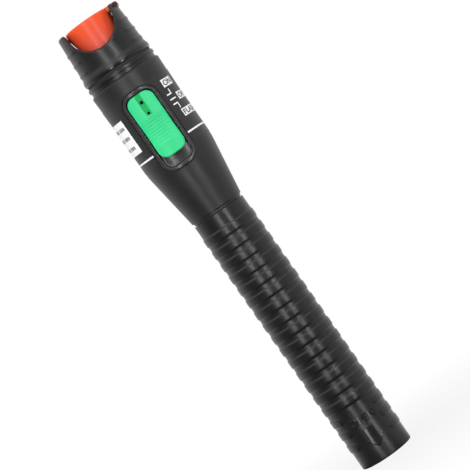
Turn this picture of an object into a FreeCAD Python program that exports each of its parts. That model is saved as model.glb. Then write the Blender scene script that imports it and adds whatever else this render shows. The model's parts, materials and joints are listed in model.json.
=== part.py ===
import FreeCAD
import Part
import math
import os

# Pen-type visual fault locator: a red laser source for testing optical fibre.
#
# Millimetres. The pen stands on its flat tail: Z runs up its axis from the middle of the
# tail face to the head. The switch faces -Y, the flip cap is hinged at +X.
# Heights are added up from the tail: sleeve, housing, lock ring, gasket, crown.

# ---- driving sizes: power -----------------------------------------------------------
CELL_RADIUS = 7.1
CELL_LENGTH = 50.5
CELL_NUB_RADIUS = 2.7
CELL_NUB_HEIGHT = 1.1
CELL_CLEARANCE = 0.25
CARRIER_WALL = 1.0
CARRIER_END_WALL = 1.3
CARRIER_TOP_WALL = 1.6
CARRIER_SLIDE_GAP = 0.2
CARRIER_PRESS_GAP = 0.02
COLLAR_STEP = 0.35
COLLAR_HEIGHT = 8.5
CELL_REACH = 9.6                # how far the front cell stands above the sleeve's top edge
STRIP_WIDTH = 3.0
STRIP_THICKNESS = 0.3
SPRING_HEIGHT = 3.65
SPRING_WIRE_RADIUS = 0.35
SPRING_BASE_RADIUS = 4.6
SPRING_PITCH = 1.1
SPRING_CONE_DEG = 22.0
SPRING_POINTS_PER_TURN = 16
RING_SECTION_RADIUS = 0.32
RING_DROP = 4.0
RING_GAP = 0.05

# ---- driving sizes: grip sleeve -----------------------------------------------------
SLEEVE_WALL = 1.05
SLEEVE_FLOOR = 1.4
SLEEVE_FLOOR_GAP = 0.25
SLEEVE_MOUTH_STEP = 0.35
SLEEVE_TAIL_ROUND = 1.0
SLEEVE_MOUTH_ROUND = 0.3
RIB_PITCH = 4.905
RIB_HEIGHT = 0.32
RIB_TOP_WIDTH = 1.9
RIB_FLANK = 0.55
RIB_ROUND = 0.35
RIB_FIRST_DROP = 7.0            # sleeve's top edge to the middle of the first rib
RIB_LAST_MARGIN = 6.0           # no rib's middle comes nearer to the tail than this
THUMB_HALF_WIDTH = 7.1
THUMB_TOP = 20.6
ARROW_TOP = 12.1
ARROW_NECK = 7.85
ARROW_TIP = 4.65
ARROW_SHAFT_WIDTH = 4.0
ARROW_HEAD_WIDTH = 6.9
ARROW_RELIEF = 0.22
SLEEVE_STOP_GAP = 0.2

# ---- driving sizes: switch housing --------------------------------------------------
CONE_STEP = 3.06                # how far the cone widens the housing
SHOULDER_STEP = 0.32
HOUSING_WALL = 1.6
HOUSING_FOOT_WALL = 1.35
STOP_RING_HEIGHT = 0.8
STOP_RING_STEP = 0.5
CONE_HALF_ANGLE_DEG = 8.2
CONE_BLEND_RADIUS = 17.0
BARREL_LENGTH = 20.02           # straight stretch, from the cone to the slight flare
FLARE_LENGTH = 12.2             # from the straight stretch to the shoulder
SHOULDER_CHAMFER = 0.5
NECK_RADIUS = 11.0
NECK_WALL = 1.2
NECK_HEIGHT = 7.3
LEDGE_WIDTH = 0.4
LEDGE_HEIGHT = 1.4
LEDGE_DROP = 2.35               # shoulder to the top of the ledge that the adapter sits on

# ---- driving sizes: head ------------------------------------------------------------
LOCK_RING_RADIUS = 12.85
LOCK_RING_FLANGE = 1.25
LOCK_RING_HUB_HEIGHT = 1.4
LOCK_RING_HUB_STEP = 0.45
LOCK_RING_CHAMFER = 0.25
GASKET_HEIGHT = 0.9
GASKET_STEP = 0.55
NECK_FIT_GAP = 0.05
CROWN_HEIGHT = 18.7
CROWN_LIP_RADIUS = 12.85
CROWN_LIP_HEIGHT = 2.2
CROWN_WAIST_RADIUS = 12.3
CROWN_TOP_RADIUS = 11.5
CROWN_BORE_RADIUS = 9.2
CROWN_ROUND = 0.5
SCOOP_HALF_WIDTH = 8.6
SCOOP_FLARE = 0.2
SCOOP_DEPTH = 10.5
GRIP_RIB_PITCH = 3.95
GRIP_RIB_COUNT = 3
GRIP_RIB_TOP_DROP = 6.6
GRIP_RIB_RADIUS = 0.55
GRIP_RIB_PROUD = 0.2
GRIP_RIB_HALF_ANGLE_DEG = 40.0

# ---- driving sizes: flip cap and its hinge ------------------------------------------
CAP_RADIUS = 7.7
CAP_FLANGE_RADIUS = 8.2
CAP_FLANGE_HEIGHT = 2.7
CAP_WALL = 1.2
CAP_ROOF = 2.5
CAP_COVER = 0.9                 # how far the cap's skirt reaches below the scoop
CAP_EDGE_ROUND = 0.3
CAP_SWING_GAP = 0.6             # crown's prong to the skirt's edge as the cap swings out
CAP_LUG_REACH = 0.8
CAP_LUG_WIDTH = 3.0
CAP_LUG_HEIGHT = 1.2
KNUCKLE_RADIUS = 1.0
KNUCKLE_OVERHANG = 0.65         # how far the knuckles stand out of the crown's side
CENTRE_KNUCKLE_WIDTH = 2.9
SIDE_KNUCKLE_WIDTH = 1.9
HINGE_GAP = 0.15
HINGE_FLOOR_GAP = 0.3
HINGE_PIN_RADIUS = 0.45
HINGE_PIN_RUNNING_GAP = 0.04
HINGE_PIN_PRESS_GAP = 0.01

# ---- driving sizes: switch ----------------------------------------------------------
BEZEL_WIDTH = 13.05
BEZEL_LENGTH = 29.75
BEZEL_CORNER = 4.7
BEZEL_RIM = 1.25
BEZEL_PROUD = 0.25
BEZEL_FLOOR = 1.0
BEZEL_FIT_GAP = 0.08
BEZEL_TOP_DROP = 6.0            # shoulder to the bezel's top edge
POCKET_DEPTH = 2.2
POCKET_END_RIM = 1.5
SLIDER_SIDE_GAP = 0.3
SLIDER_END_GAP = 0.3
SLIDER_FLOOR_GAP = 0.15
SLIDER_TRAVEL = 3.4
SLIDER_CORNER = 2.4
SLIDER_PROUD = 0.5
SLIDER_EDGE = 0.25
CHANNEL_WIDTH = 1.8
CHANNEL_LENGTH = 7.75
CHANNEL_DEPTH = 0.4
LAMP_HOLE_RADIUS = 0.63
LAMP_HOLE_DROP = 3.0
PIN_HOLE_RADIUS = 0.5
PIN_HOLE_DROP = 7.1
HOLE_DEPTH = 0.9
THUMB_DISH_TOP_DROP = 8.6
THUMB_DISH_LENGTH = 9.5
THUMB_DISH_DEPTH = 0.55
RIDGE_COUNT = 8
RIDGE_RADIUS = 0.16
RIDGE_LENGTH = 7.6
STEM_WIDTH = 2.6
STEM_LENGTH = 3.8
STEM_END_GAP = 0.7              # slide switch's face to the stem's end
LEVER_WIDTH = 1.5
LEVER_LENGTH = 2.0
LEVER_FIT_GAP = 0.03
LEVER_TIP_GAP = 0.45            # slider's back to the lever's tip, inside the stem
SLIDE_SWITCH_WIDTH = 5.8
SLIDE_SWITCH_LENGTH = 14.0
SLIDE_SWITCH_HEIGHT = 2.6
SWITCH_SLOT_DEPTH = 1.2
SWITCH_PIN_RADIUS = 0.35
SWITCH_PIN_PITCH = 3.4
SWITCH_PIN_COUNT = 4
SWITCH_PIN_TAIL = 0.5

# ---- driving sizes: board and its carrier -------------------------------------------
BOARD_FACE = 5.98               # pen's axis to the board's front
BOARD_THICKNESS = 1.0
BOARD_WIDTH = 11.6
BOARD_LENGTH = 36.0
BOARD_LIFT = 1.1                # carrier's top wall to the board's lower end
CRADLE_WIDTH = 13.2
RAIL_WIDTH = 2.2
BRIDGE_HEIGHT = 3.5
BRIDGE_DEPTH = 2.6
SADDLE_RING_HEIGHT = 4.5
SADDLE_RING_BACK = 5.0
BOARD_SCREW_RADIUS = 0.6
BOARD_SCREW_HEAD_RADIUS = 1.3
BOARD_SCREW_HEAD_HEIGHT = 0.8
BOARD_SCREW_LENGTH = 2.6
UPPER_SCREW_OFFSET = 4.2
CHIP_SIZE = (5.0, 1.5, 4.0)     # along X, out from the board, along Z
CAPACITOR_SIZE = (2.6, 1.8, 3.4)
RESISTOR_SIZE = (0.9, 0.5, 1.6)
RESISTOR_COUNT = 4
RESISTOR_PITCH = 2.3

# ---- driving sizes: laser and port --------------------------------------------------
MODULE_RADIUS = 4.0
MODULE_LENGTH = 22.4
MODULE_FIT_GAP = 0.03
DIODE_FLANGE_RADIUS = 2.8
DIODE_FLANGE_HEIGHT = 1.2
DIODE_CAN_RADIUS = 1.75
DIODE_CAN_HEIGHT = 3.4
DIODE_SEAT = 3.0
DIODE_LEG_RADIUS = 0.22
DIODE_LEG_PITCH = 1.27
DIODE_LEG_BEND = 1.2
DIODE_LEG_DROP = 2.7            # barrel's lower end to where the legs meet the board
BEAM_RADIUS = 2.1
LENS_RADIUS = 2.45
LENS_EDGE = 0.8
LENS_SAG = 0.9
LENS_DEPTH = 3.9
RETAINER_HEIGHT = 1.2
RETAINER_WALL = 0.65
OPTIC_FIT_GAP = 0.03
PORT_RADIUS = 1.26
PORT_SLEEVE_RADIUS = 1.6
PORT_SLEEVE_LENGTH = 11.4
PORT_SLEEVE_SLIT = 0.3
PORT_LIP_HEIGHT = 0.6
PORT_LIP_RADIUS = 1.48
ADAPTER_TUBE_RADIUS = 3.6
ADAPTER_FLANGE_HEIGHT = 2.0
ADAPTER_FLANGE_GAP = 0.1
ADAPTER_SOCKET_DEPTH = 2.8
ADAPTER_SOCKET_WALL = 1.3
ADAPTER_HEX_WIDTH = 9.0
ADAPTER_HEX_HEIGHT = 2.2
NUT_HEIGHT = 2.6
NUT_BORE_RADIUS = 5.6
NUT_SLOT_WIDTH = 1.6
NUT_SLOT_DEPTH = 0.9

# ---- driving sizes: film and label --------------------------------------------------
SKIN_GAP = 0.03                 # adhesive under the film and under the label
FILM_THICKNESS = 0.08
FILM_LOW_MARGIN = 1.45          # top of the cone to the film's lower edge
FILM_HIGH_MARGIN = 5.9          # shoulder to the film's upper edge
FILM_WINDOW_GAP = 0.45
LABEL_THICKNESS = 0.08
LABEL_HEIGHT = 12.3
LABEL_WIDTH = 28.0
LABEL_RAISE = 6.8               # film's lower edge to the label's lower edge
LABEL_START_DEG = -44.3         # from the front, positive towards +X

# ---- heights ------------------------------------------------------------------------
Z_CARRIER = SLEEVE_FLOOR + SLEEVE_FLOOR_GAP
Z_STRIP_FOOT = Z_CARRIER + CARRIER_END_WALL
Z_SPRING = Z_STRIP_FOOT + STRIP_THICKNESS
Z_CELL_REAR = Z_SPRING + SPRING_HEIGHT
Z_CELL_FRONT = Z_CELL_REAR + CELL_LENGTH
Z_CELL_TOP = Z_CELL_FRONT + CELL_LENGTH
Z_CARRIER_ROOF = Z_CELL_TOP + STRIP_THICKNESS
Z_CARRIER_TOP = Z_CARRIER_ROOF + CARRIER_TOP_WALL
Z_SLEEVE_TOP = Z_CELL_TOP - CELL_REACH
Z_HOUSING = Z_SLEEVE_TOP + SLEEVE_STOP_GAP
Z_CONE = Z_HOUSING + STOP_RING_HEIGHT

# ---- radii of the power stack, from the cell outwards --------------------------------
CARRIER_BORE = CELL_RADIUS + CELL_CLEARANCE
CARRIER_RADIUS = CARRIER_BORE + CARRIER_WALL
COLLAR_RADIUS = CARRIER_RADIUS + COLLAR_STEP
SLEEVE_BORE = CARRIER_RADIUS + CARRIER_SLIDE_GAP
SLEEVE_MOUTH_BORE = SLEEVE_BORE + SLEEVE_MOUTH_STEP
SLEEVE_RADIUS = SLEEVE_BORE + SLEEVE_WALL
HOUSING_FOOT_BORE = CARRIER_RADIUS + CARRIER_PRESS_GAP
HOUSING_FOOT_RADIUS = HOUSING_FOOT_BORE + HOUSING_FOOT_WALL
HOUSING_RADIUS = HOUSING_FOOT_RADIUS + CONE_STEP
SHOULDER_RADIUS = HOUSING_RADIUS + SHOULDER_STEP

# ---- heights of the housing and the head ---------------------------------------------
CONE_SLOPE = math.tan(math.radians(CONE_HALF_ANGLE_DEG))
Z_BARREL = Z_CONE + CONE_STEP / CONE_SLOPE
Z_FLARE = Z_BARREL + BARREL_LENGTH
Z_SHOULDER = Z_FLARE + FLARE_LENGTH
Z_LEDGE = Z_SHOULDER - LEDGE_DROP
Z_LOCK_FLANGE = Z_SHOULDER + LOCK_RING_HUB_HEIGHT
Z_GASKET = Z_LOCK_FLANGE + LOCK_RING_FLANGE
Z_CROWN = Z_GASKET + GASKET_HEIGHT
Z_TOP = Z_CROWN + CROWN_HEIGHT
Z_NECK_TOP = Z_SHOULDER + NECK_HEIGHT
Z_SCOOP = Z_TOP - SCOOP_DEPTH
NECK_BORE = NECK_RADIUS - NECK_WALL
HOUSING_BORE = HOUSING_RADIUS - HOUSING_WALL

# ---- switch: heights, and distances from the axis towards -Y --------------------------
Z_BEZEL_TOP = Z_SHOULDER - BEZEL_TOP_DROP
Z_BEZEL_MIDDLE = Z_BEZEL_TOP - BEZEL_LENGTH / 2
POCKET_WIDTH = BEZEL_WIDTH - 2 * BEZEL_RIM
POCKET_LENGTH = BEZEL_LENGTH - 2 * POCKET_END_RIM
SLIDER_WIDTH = POCKET_WIDTH - 2 * SLIDER_SIDE_GAP
SLIDER_LENGTH = POCKET_LENGTH - 2 * SLIDER_END_GAP - SLIDER_TRAVEL
Z_SLIDER_TOP = Z_BEZEL_MIDDLE + POCKET_LENGTH / 2 - SLIDER_END_GAP
Z_SLIDER_MIDDLE = Z_SLIDER_TOP - SLIDER_LENGTH / 2
Z_SWITCH = Z_SLIDER_MIDDLE - SLIDER_TRAVEL / 2
POCKET_FLOOR = HOUSING_RADIUS - POCKET_DEPTH
BEZEL_BACK = POCKET_FLOOR - BEZEL_FLOOR
POCKET_CORNER = SLIDER_CORNER + SLIDER_SIDE_GAP
SLIDER_BACK = POCKET_FLOOR + SLIDER_FLOOR_GAP
SLIDER_FACE = HOUSING_RADIUS + SLIDER_PROUD
SWITCH_FACE = BOARD_FACE + SLIDE_SWITCH_HEIGHT
STEM_END = SWITCH_FACE + STEM_END_GAP
LEVER_TIP = SLIDER_BACK - LEVER_TIP_GAP
BOARD_BACK = BOARD_FACE - BOARD_THICKNESS
Z_BOARD = Z_CARRIER_TOP + BOARD_LIFT
Z_BOARD_TOP = Z_BOARD + BOARD_LENGTH

# ---- optics: heights ------------------------------------------------------------------
Z_ADAPTER_SOCKET = Z_LEDGE - ADAPTER_SOCKET_DEPTH
Z_MODULE_TOP = Z_LEDGE - 1.0
Z_MODULE = Z_MODULE_TOP - MODULE_LENGTH
Z_DIODE = Z_MODULE + DIODE_SEAT
Z_LENS = Z_MODULE_TOP - LENS_DEPTH
Z_NUT = Z_LEDGE + ADAPTER_FLANGE_HEIGHT
Z_PORT_SLEEVE = Z_NUT + 0.2
Z_PORT_LIP = Z_PORT_SLEEVE + PORT_SLEEVE_LENGTH
Z_PORT_TOP = Z_PORT_LIP + PORT_LIP_HEIGHT
Z_CRADLE_TOP = Z_ADAPTER_SOCKET - 0.6
Z_LOWER_SCREW = Z_MODULE - 6.0
Z_UPPER_SCREW = Z_CRADLE_TOP - SADDLE_RING_HEIGHT / 2

# ---- flip hinge -----------------------------------------------------------------------
HINGE_X = CROWN_TOP_RADIUS + KNUCKLE_OVERHANG - KNUCKLE_RADIUS
HINGE_Z = Z_TOP - KNUCKLE_RADIUS
SIDE_KNUCKLE_START = CENTRE_KNUCKLE_WIDTH / 2 + HINGE_GAP
SIDE_KNUCKLE_END = SIDE_KNUCKLE_START + SIDE_KNUCKLE_WIDTH

X_AXIS = FreeCAD.Vector(1, 0, 0)
Y_AXIS = FreeCAD.Vector(0, 1, 0)
Z_AXIS = FreeCAD.Vector(0, 0, 1)
ORIGIN = FreeCAD.Vector(0, 0, 0)
FAR = 40.0                      # reaches past every surface of the pen


def outline(points):
    """Closed face in the XZ plane from (x, z) or (x, z, corner radius) points."""
    corners = [(FreeCAD.Vector(p[0], 0, p[1]), p[2] if len(p) > 2 else 0.0) for p in points]
    stops = []
    for i, (corner, radius) in enumerate(corners):
        if radius <= 0:
            stops.append((corner, None, corner))
            continue
        back = (corners[i - 1][0] - corner).normalize()
        ahead = (corners[(i + 1) % len(corners)][0] - corner).normalize()
        half_angle = back.getAngle(ahead) / 2
        middle = (back + ahead).normalize()
        reach = radius / math.tan(half_angle)
        summit = corner + middle * (radius / math.sin(half_angle) - radius)
        stops.append((corner + back * reach, summit, corner + ahead * reach))
    edges = []
    for i, (start, summit, end) in enumerate(stops):
        if summit is not None:
            edges.append(Part.Arc(start, summit, end).toShape())
        following = stops[(i + 1) % len(stops)][0]
        if end.distanceToPoint(following) > 1e-6:
            edges.append(Part.LineSegment(end, following).toShape())
    return Part.Face(Part.Wire(edges))


def turned(points):
    """Solid of revolution about the pen's axis from (radius, z) points."""
    return outline(points).revolve(ORIGIN, Z_AXIS, 360)


def turned_between(points, start_deg, end_deg):
    """Part of a solid of revolution, between two angles from the front, positive towards +X."""
    face = outline(points)
    face.rotate(ORIGIN, Z_AXIS, start_deg - 90)
    return face.revolve(ORIGIN, Z_AXIS, end_deg - start_deg)


def disc(radius, low, high, x=0.0, y=0.0):
    """Upright cylinder between two heights."""
    return Part.makeCylinder(radius, high - low, FreeCAD.Vector(x, y, low), Z_AXIS)


def tube(outer, inner, low, high):
    """Upright tube about the pen's axis."""
    return disc(outer, low, high).cut(disc(inner, low, high))


def rod_along_y(radius, x, z, start, end):
    """Cylinder along Y."""
    return Part.makeCylinder(radius, end - start, FreeCAD.Vector(x, start, z), Y_AXIS)


def block(x, y, z):
    """Box from three (low, high) pairs."""
    corner = FreeCAD.Vector(x[0], y[0], z[0])
    return Part.makeBox(x[1] - x[0], y[1] - y[0], z[1] - z[0], corner)


def about(middle, width):
    """(low, high) pair about a middle."""
    return (middle - width / 2, middle + width / 2)


def front_plate(width, length, corner, z_middle, back, front):
    """Rounded plate that faces -Y, between two distances from the axis."""
    half, low, high = width / 2, z_middle - length / 2, z_middle + length / 2
    face = outline([(-half, low, corner), (half, low, corner), (half, high, corner), (-half, high, corner)])
    face.translate(FreeCAD.Vector(0, -back, 0))
    return face.extrude(FreeCAD.Vector(0, back - front, 0))


def fused(shapes):
    """One solid from several that meet, with its faces still split where they met."""
    whole = shapes[0]
    for shape in shapes[1:]:
        whole = whole.fuse(shape)
    return whole


def joined(shapes):
    """One solid from several that meet, with plain faces."""
    return fused(shapes).removeSplitter()


# ---- grip sleeve and power --------------------------------------------------------------

def rib_heights():
    """Middles of the grip ribs, from the top down."""
    first = Z_SLEEVE_TOP - RIB_FIRST_DROP
    count = int((first - RIB_LAST_MARGIN) / RIB_PITCH) + 1
    return [first - RIB_PITCH * i for i in range(count)]


def thumb_patch_deg():
    """Angle from the front to the side of the thumb patch."""
    return math.degrees(math.asin(THUMB_HALF_WIDTH / SLEEVE_RADIUS))


def grip_rib(middle):
    """One grip rib; it stops each side of the thumb patch if it stands beside it."""
    root, crest = SLEEVE_RADIUS - SLEEVE_WALL / 3, SLEEVE_RADIUS + RIB_HEIGHT
    half_top = RIB_TOP_WIDTH / 2
    half_foot = half_top + RIB_FLANK
    section = [
        (root, middle - half_foot),
        (SLEEVE_RADIUS, middle - half_foot),
        (crest, middle - half_top, RIB_ROUND),
        (crest, middle + half_top, RIB_ROUND),
        (SLEEVE_RADIUS, middle + half_foot),
        (root, middle + half_foot),
    ]
    if middle > THUMB_TOP:
        return turned(section)
    return turned_between(section, thumb_patch_deg(), 360 - thumb_patch_deg())


def make_grip_sleeve():
    """Ribbed tube, closed at the tail, with a smooth thumb patch and an arrow at the front.

    The wall is turned in two, the patch's side and the rest, so that no face runs all round
    between the interrupted ribs.
    """
    step = Z_SLEEVE_TOP - COLLAR_HEIGHT - SLEEVE_FLOOR_GAP
    tail = [(0, 0), (SLEEVE_RADIUS, 0, SLEEVE_TAIL_ROUND), (SLEEVE_RADIUS, Z_SLEEVE_TOP, SLEEVE_MOUTH_ROUND)]
    inside = [
        (SLEEVE_MOUTH_BORE, Z_SLEEVE_TOP),
        (SLEEVE_MOUTH_BORE, step),
        (SLEEVE_BORE, step),
        (SLEEVE_BORE, SLEEVE_FLOOR),
        (0, SLEEVE_FLOOR),
    ]
    arrow = outline([
        (-ARROW_SHAFT_WIDTH / 2, ARROW_TOP),
        (-ARROW_SHAFT_WIDTH / 2, ARROW_NECK),
        (-ARROW_HEAD_WIDTH / 2, ARROW_NECK),
        (0, ARROW_TIP),
        (ARROW_HEAD_WIDTH / 2, ARROW_NECK),
        (ARROW_SHAFT_WIDTH / 2, ARROW_NECK),
        (ARROW_SHAFT_WIDTH / 2, ARROW_TOP),
    ]).extrude(FreeCAD.Vector(0, -FAR, 0))
    skin = tube(SLEEVE_RADIUS + ARROW_RELIEF, SLEEVE_RADIUS - SLEEVE_WALL / 2, 0, Z_SLEEVE_TOP)
    ribs = [grip_rib(middle) for middle in rib_heights()]
    patch = thumb_patch_deg()
    walls = [turned_between(tail + inside, -patch, patch), turned_between(tail + inside, patch, 360 - patch)]
    return fused(walls + ribs + [arrow.common(skin)])


def make_cell(base):
    """AA cell in its can, standing on its flat end."""
    wrap_top = base + CELL_LENGTH - CELL_NUB_HEIGHT
    return turned([
        (0, base),
        (CELL_RADIUS, base, 0.5),
        (CELL_RADIUS, wrap_top, 0.5),
        (CELL_NUB_RADIUS, wrap_top),
        (CELL_NUB_RADIUS, base + CELL_LENGTH, 0.3),
        (0, base + CELL_LENGTH),
    ])


def make_battery_carrier():
    """Half-round trough for both cells, a full collar, and the cradle for the board and laser."""
    z_collar = Z_HOUSING - COLLAR_HEIGHT
    shell = tube(CARRIER_RADIUS, CARRIER_BORE, Z_CARRIER, Z_CARRIER_TOP)
    shell = shell.cut(block((-FAR, FAR), (0, FAR), (Z_STRIP_FOOT, z_collar)))
    end_wall = disc(CARRIER_RADIUS, Z_CARRIER, Z_STRIP_FOOT)
    roof = disc(CARRIER_RADIUS, Z_CARRIER_ROOF, Z_CARRIER_TOP)
    collar = tube(COLLAR_RADIUS, CARRIER_BORE, z_collar, Z_HOUSING)
    half = CRADLE_WIDTH / 2
    rails = [
        block(span, (-BOARD_BACK, 0), (Z_CARRIER_ROOF, Z_MODULE))
        for span in ((-half, -half + RAIL_WIDTH), (half - RAIL_WIDTH, half))
    ]
    bridge = block(
        (-half, half), (-BOARD_BACK, -BOARD_BACK + BRIDGE_DEPTH), about(Z_LOWER_SCREW, BRIDGE_HEIGHT)
    )
    saddle = block((-half, half), (-BOARD_BACK, 0), (Z_MODULE, Z_CRADLE_TOP))
    ring_heights = (Z_CRADLE_TOP - SADDLE_RING_HEIGHT, Z_CRADLE_TOP)
    ring = block((-half, half), (-BOARD_BACK, SADDLE_RING_BACK), ring_heights)
    carrier = joined([shell, end_wall, roof, collar, saddle, ring, bridge] + rails)
    carrier = carrier.cut(disc(MODULE_RADIUS + MODULE_FIT_GAP, Z_MODULE, Z_CRADLE_TOP))
    groove_floor = ring_groove_floor()
    groove = tube(FAR, groove_floor, *about(ring_height(), 2 * (RING_SECTION_RADIUS + RING_GAP)))
    carrier = carrier.cut(groove)
    for x, z in screw_places():
        carrier = carrier.cut(rod_along_y(BOARD_SCREW_RADIUS, x, z, -BOARD_BACK, -BOARD_BACK + screw_bite()))
    strip_slot = block(
        about(0, STRIP_WIDTH + 2 * CARRIER_PRESS_GAP),
        (-strip_face() - CARRIER_PRESS_GAP, STRIP_THICKNESS - CARRIER_BORE),
        (Z_STRIP_FOOT, Z_CARRIER_TOP),
    )
    tab_slot = block(
        (tab_start() - CARRIER_PRESS_GAP, tab_start() + STRIP_WIDTH + CARRIER_PRESS_GAP),
        (-BOARD_FACE - STRIP_THICKNESS - CARRIER_PRESS_GAP, -BOARD_FACE + CARRIER_PRESS_GAP),
        (Z_CARRIER_ROOF, Z_CARRIER_TOP),
    )
    bar_slot = block(
        (tab_start() - CARRIER_PRESS_GAP, tab_start() + STRIP_WIDTH + CARRIER_PRESS_GAP),
        (-BOARD_FACE - STRIP_THICKNESS - CARRIER_PRESS_GAP, 0),
        (Z_CELL_TOP - CARRIER_PRESS_GAP, Z_CARRIER_ROOF),
    )
    pin_slot = block(
        about(SLIDE_SWITCH_WIDTH / 3, 4 * SWITCH_PIN_RADIUS),
        (-BOARD_BACK, -BOARD_BACK + SWITCH_PIN_TAIL + HINGE_FLOOR_GAP),
        about(Z_SWITCH, SLIDE_SWITCH_LENGTH),
    )
    for slot in (strip_slot, tab_slot, bar_slot, pin_slot):
        carrier = carrier.cut(slot)
    return carrier


def screw_places():
    """(x, z) of the three board screws."""
    return [(0, Z_LOWER_SCREW), (-UPPER_SCREW_OFFSET, Z_UPPER_SCREW), (UPPER_SCREW_OFFSET, Z_UPPER_SCREW)]


def screw_bite():
    """How deep a board screw goes into the cradle."""
    return BOARD_SCREW_LENGTH - BOARD_THICKNESS


def strip_face():
    """Distance from the axis to the return strip's outer face, in a groove inside the trough."""
    return CARRIER_BORE + CARRIER_WALL / 2


def tab_start():
    """X at which the positive contact's tab begins, beside the return strip."""
    return STRIP_WIDTH / 2 + 0.5


def ring_height():
    """Height of the sleeve ring's middle."""
    return Z_HOUSING - RING_DROP


def ring_groove_floor():
    """Radius of the floor of the sleeve ring's groove in the collar."""
    return SLEEVE_MOUTH_BORE - 2 * (RING_SECTION_RADIUS + RING_GAP)


def make_sleeve_ring():
    """Rubber ring that grips the sleeve's mouth."""
    middle = SLEEVE_MOUTH_BORE - RING_GAP - RING_SECTION_RADIUS
    return Part.makeTorus(middle, RING_SECTION_RADIUS, FreeCAD.Vector(0, 0, ring_height()), Z_AXIS)


def make_return_strip():
    """Sheet strip from the tail spring, up inside the trough, to the board."""
    outer = strip_face()
    foot = disc(SPRING_BASE_RADIUS + 2 * SPRING_WIRE_RADIUS, Z_STRIP_FOOT, Z_SPRING)
    bar = block(about(0, STRIP_WIDTH), (-outer, 0), (Z_STRIP_FOOT, Z_SPRING))
    jog_top = Z_CARRIER_TOP + STRIP_THICKNESS
    riser = block(about(0, STRIP_WIDTH), (-outer, -outer + STRIP_THICKNESS), (Z_STRIP_FOOT, jog_top))
    jog = block(about(0, STRIP_WIDTH), (-outer, -BOARD_FACE), (Z_CARRIER_TOP, jog_top))
    landing = block(
        about(0, STRIP_WIDTH),
        (-BOARD_FACE - STRIP_THICKNESS, -BOARD_FACE),
        (Z_CARRIER_TOP, Z_BOARD + STRIP_WIDTH),
    )
    return joined([foot, bar, riser, jog, landing])


def make_positive_contact():
    """Sheet plate under the trough's roof, with a tab up to the board."""
    plate = disc(SPRING_BASE_RADIUS, Z_CELL_TOP, Z_CARRIER_ROOF)
    start, face = tab_start(), BOARD_FACE + STRIP_THICKNESS
    bar = block((start, start + STRIP_WIDTH), (-face, 0), (Z_CELL_TOP, Z_CARRIER_ROOF))
    tab = block((start, start + STRIP_WIDTH), (-face, -BOARD_FACE), (Z_CELL_TOP, Z_BOARD + STRIP_WIDTH))
    return joined([plate, bar, tab])


def make_tail_spring():
    """Conical spring, wide end down, between the strip's foot and the rear cell."""
    low, high = Z_SPRING + SPRING_WIRE_RADIUS, Z_CELL_REAR - SPRING_WIRE_RADIUS
    count = int((high - low) / SPRING_PITCH * SPRING_POINTS_PER_TURN)
    points = []
    for i in range(count + 1):
        rise = (high - low) * i / count
        turn = 2 * math.pi * rise / SPRING_PITCH
        radius = SPRING_BASE_RADIUS - rise * math.tan(math.radians(SPRING_CONE_DEG))
        points.append(FreeCAD.Vector(radius * math.cos(turn), radius * math.sin(turn), low + rise))
    line = Part.BSplineCurve()
    line.interpolate(points)
    section = Part.Circle(points[0], line.tangent(line.FirstParameter)[0], SPRING_WIRE_RADIUS)
    return Part.Wire(line.toShape()).makePipeShell([Part.Wire(section.toShape())], True, True)


# ---- housing, film and label --------------------------------------------------------------

def flare_radius(z):
    """Outer radius of the housing above its cone."""
    if z <= Z_FLARE:
        return HOUSING_RADIUS
    return HOUSING_RADIUS + (SHOULDER_RADIUS - HOUSING_RADIUS) * (z - Z_FLARE) / FLARE_LENGTH


def make_switch_housing():
    """Turned shell: foot, cone, straight stretch with the bezel's window, shoulder and neck."""
    stop_radius = HOUSING_FOOT_RADIUS - STOP_RING_STEP
    outside = [
        (HOUSING_FOOT_BORE, Z_HOUSING),
        (stop_radius, Z_HOUSING),
        (stop_radius, Z_CONE),
        (HOUSING_FOOT_RADIUS, Z_CONE, 0.2),
        (HOUSING_RADIUS, Z_BARREL, CONE_BLEND_RADIUS),
        (HOUSING_RADIUS, Z_FLARE),
        (SHOULDER_RADIUS, Z_SHOULDER - SHOULDER_CHAMFER),
        (SHOULDER_RADIUS - SHOULDER_CHAMFER, Z_SHOULDER),
        (NECK_RADIUS, Z_SHOULDER),
        (NECK_RADIUS, Z_NECK_TOP),
    ]
    roof = Z_LEDGE - LEDGE_HEIGHT
    cone_bore = HOUSING_FOOT_RADIUS + (Z_CARRIER_TOP - Z_CONE) * CONE_SLOPE - HOUSING_WALL
    inside = [
        (NECK_BORE, Z_NECK_TOP),
        (NECK_BORE, Z_LEDGE),
        (NECK_BORE - LEDGE_WIDTH, Z_LEDGE),
        (NECK_BORE - LEDGE_WIDTH, roof),
        (HOUSING_BORE, roof),
        (HOUSING_BORE, Z_BARREL),
        (cone_bore, Z_CARRIER_TOP),
        (HOUSING_FOOT_BORE, Z_CARRIER_TOP),
    ]
    window = front_plate(
        BEZEL_WIDTH + 2 * BEZEL_FIT_GAP,
        BEZEL_LENGTH + 2 * BEZEL_FIT_GAP,
        BEZEL_CORNER + BEZEL_FIT_GAP,
        Z_BEZEL_MIDDLE,
        BEZEL_BACK - 1.0,
        FAR,
    )
    return turned(outside + inside).cut(window)


def skin_outline(low, high, offset, thickness):
    """Section of a thin skin that lies over the housing between two heights."""
    inner = [(flare_radius(z) + offset, z) for z in (low, Z_FLARE, high) if low <= z <= high]
    outer = [(radius + thickness, z) for radius, z in reversed(inner)]
    return [(radius, z) for radius, z in inner + outer]


def film_low():
    """Height of the film's lower edge."""
    return Z_BARREL + FILM_LOW_MARGIN


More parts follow.
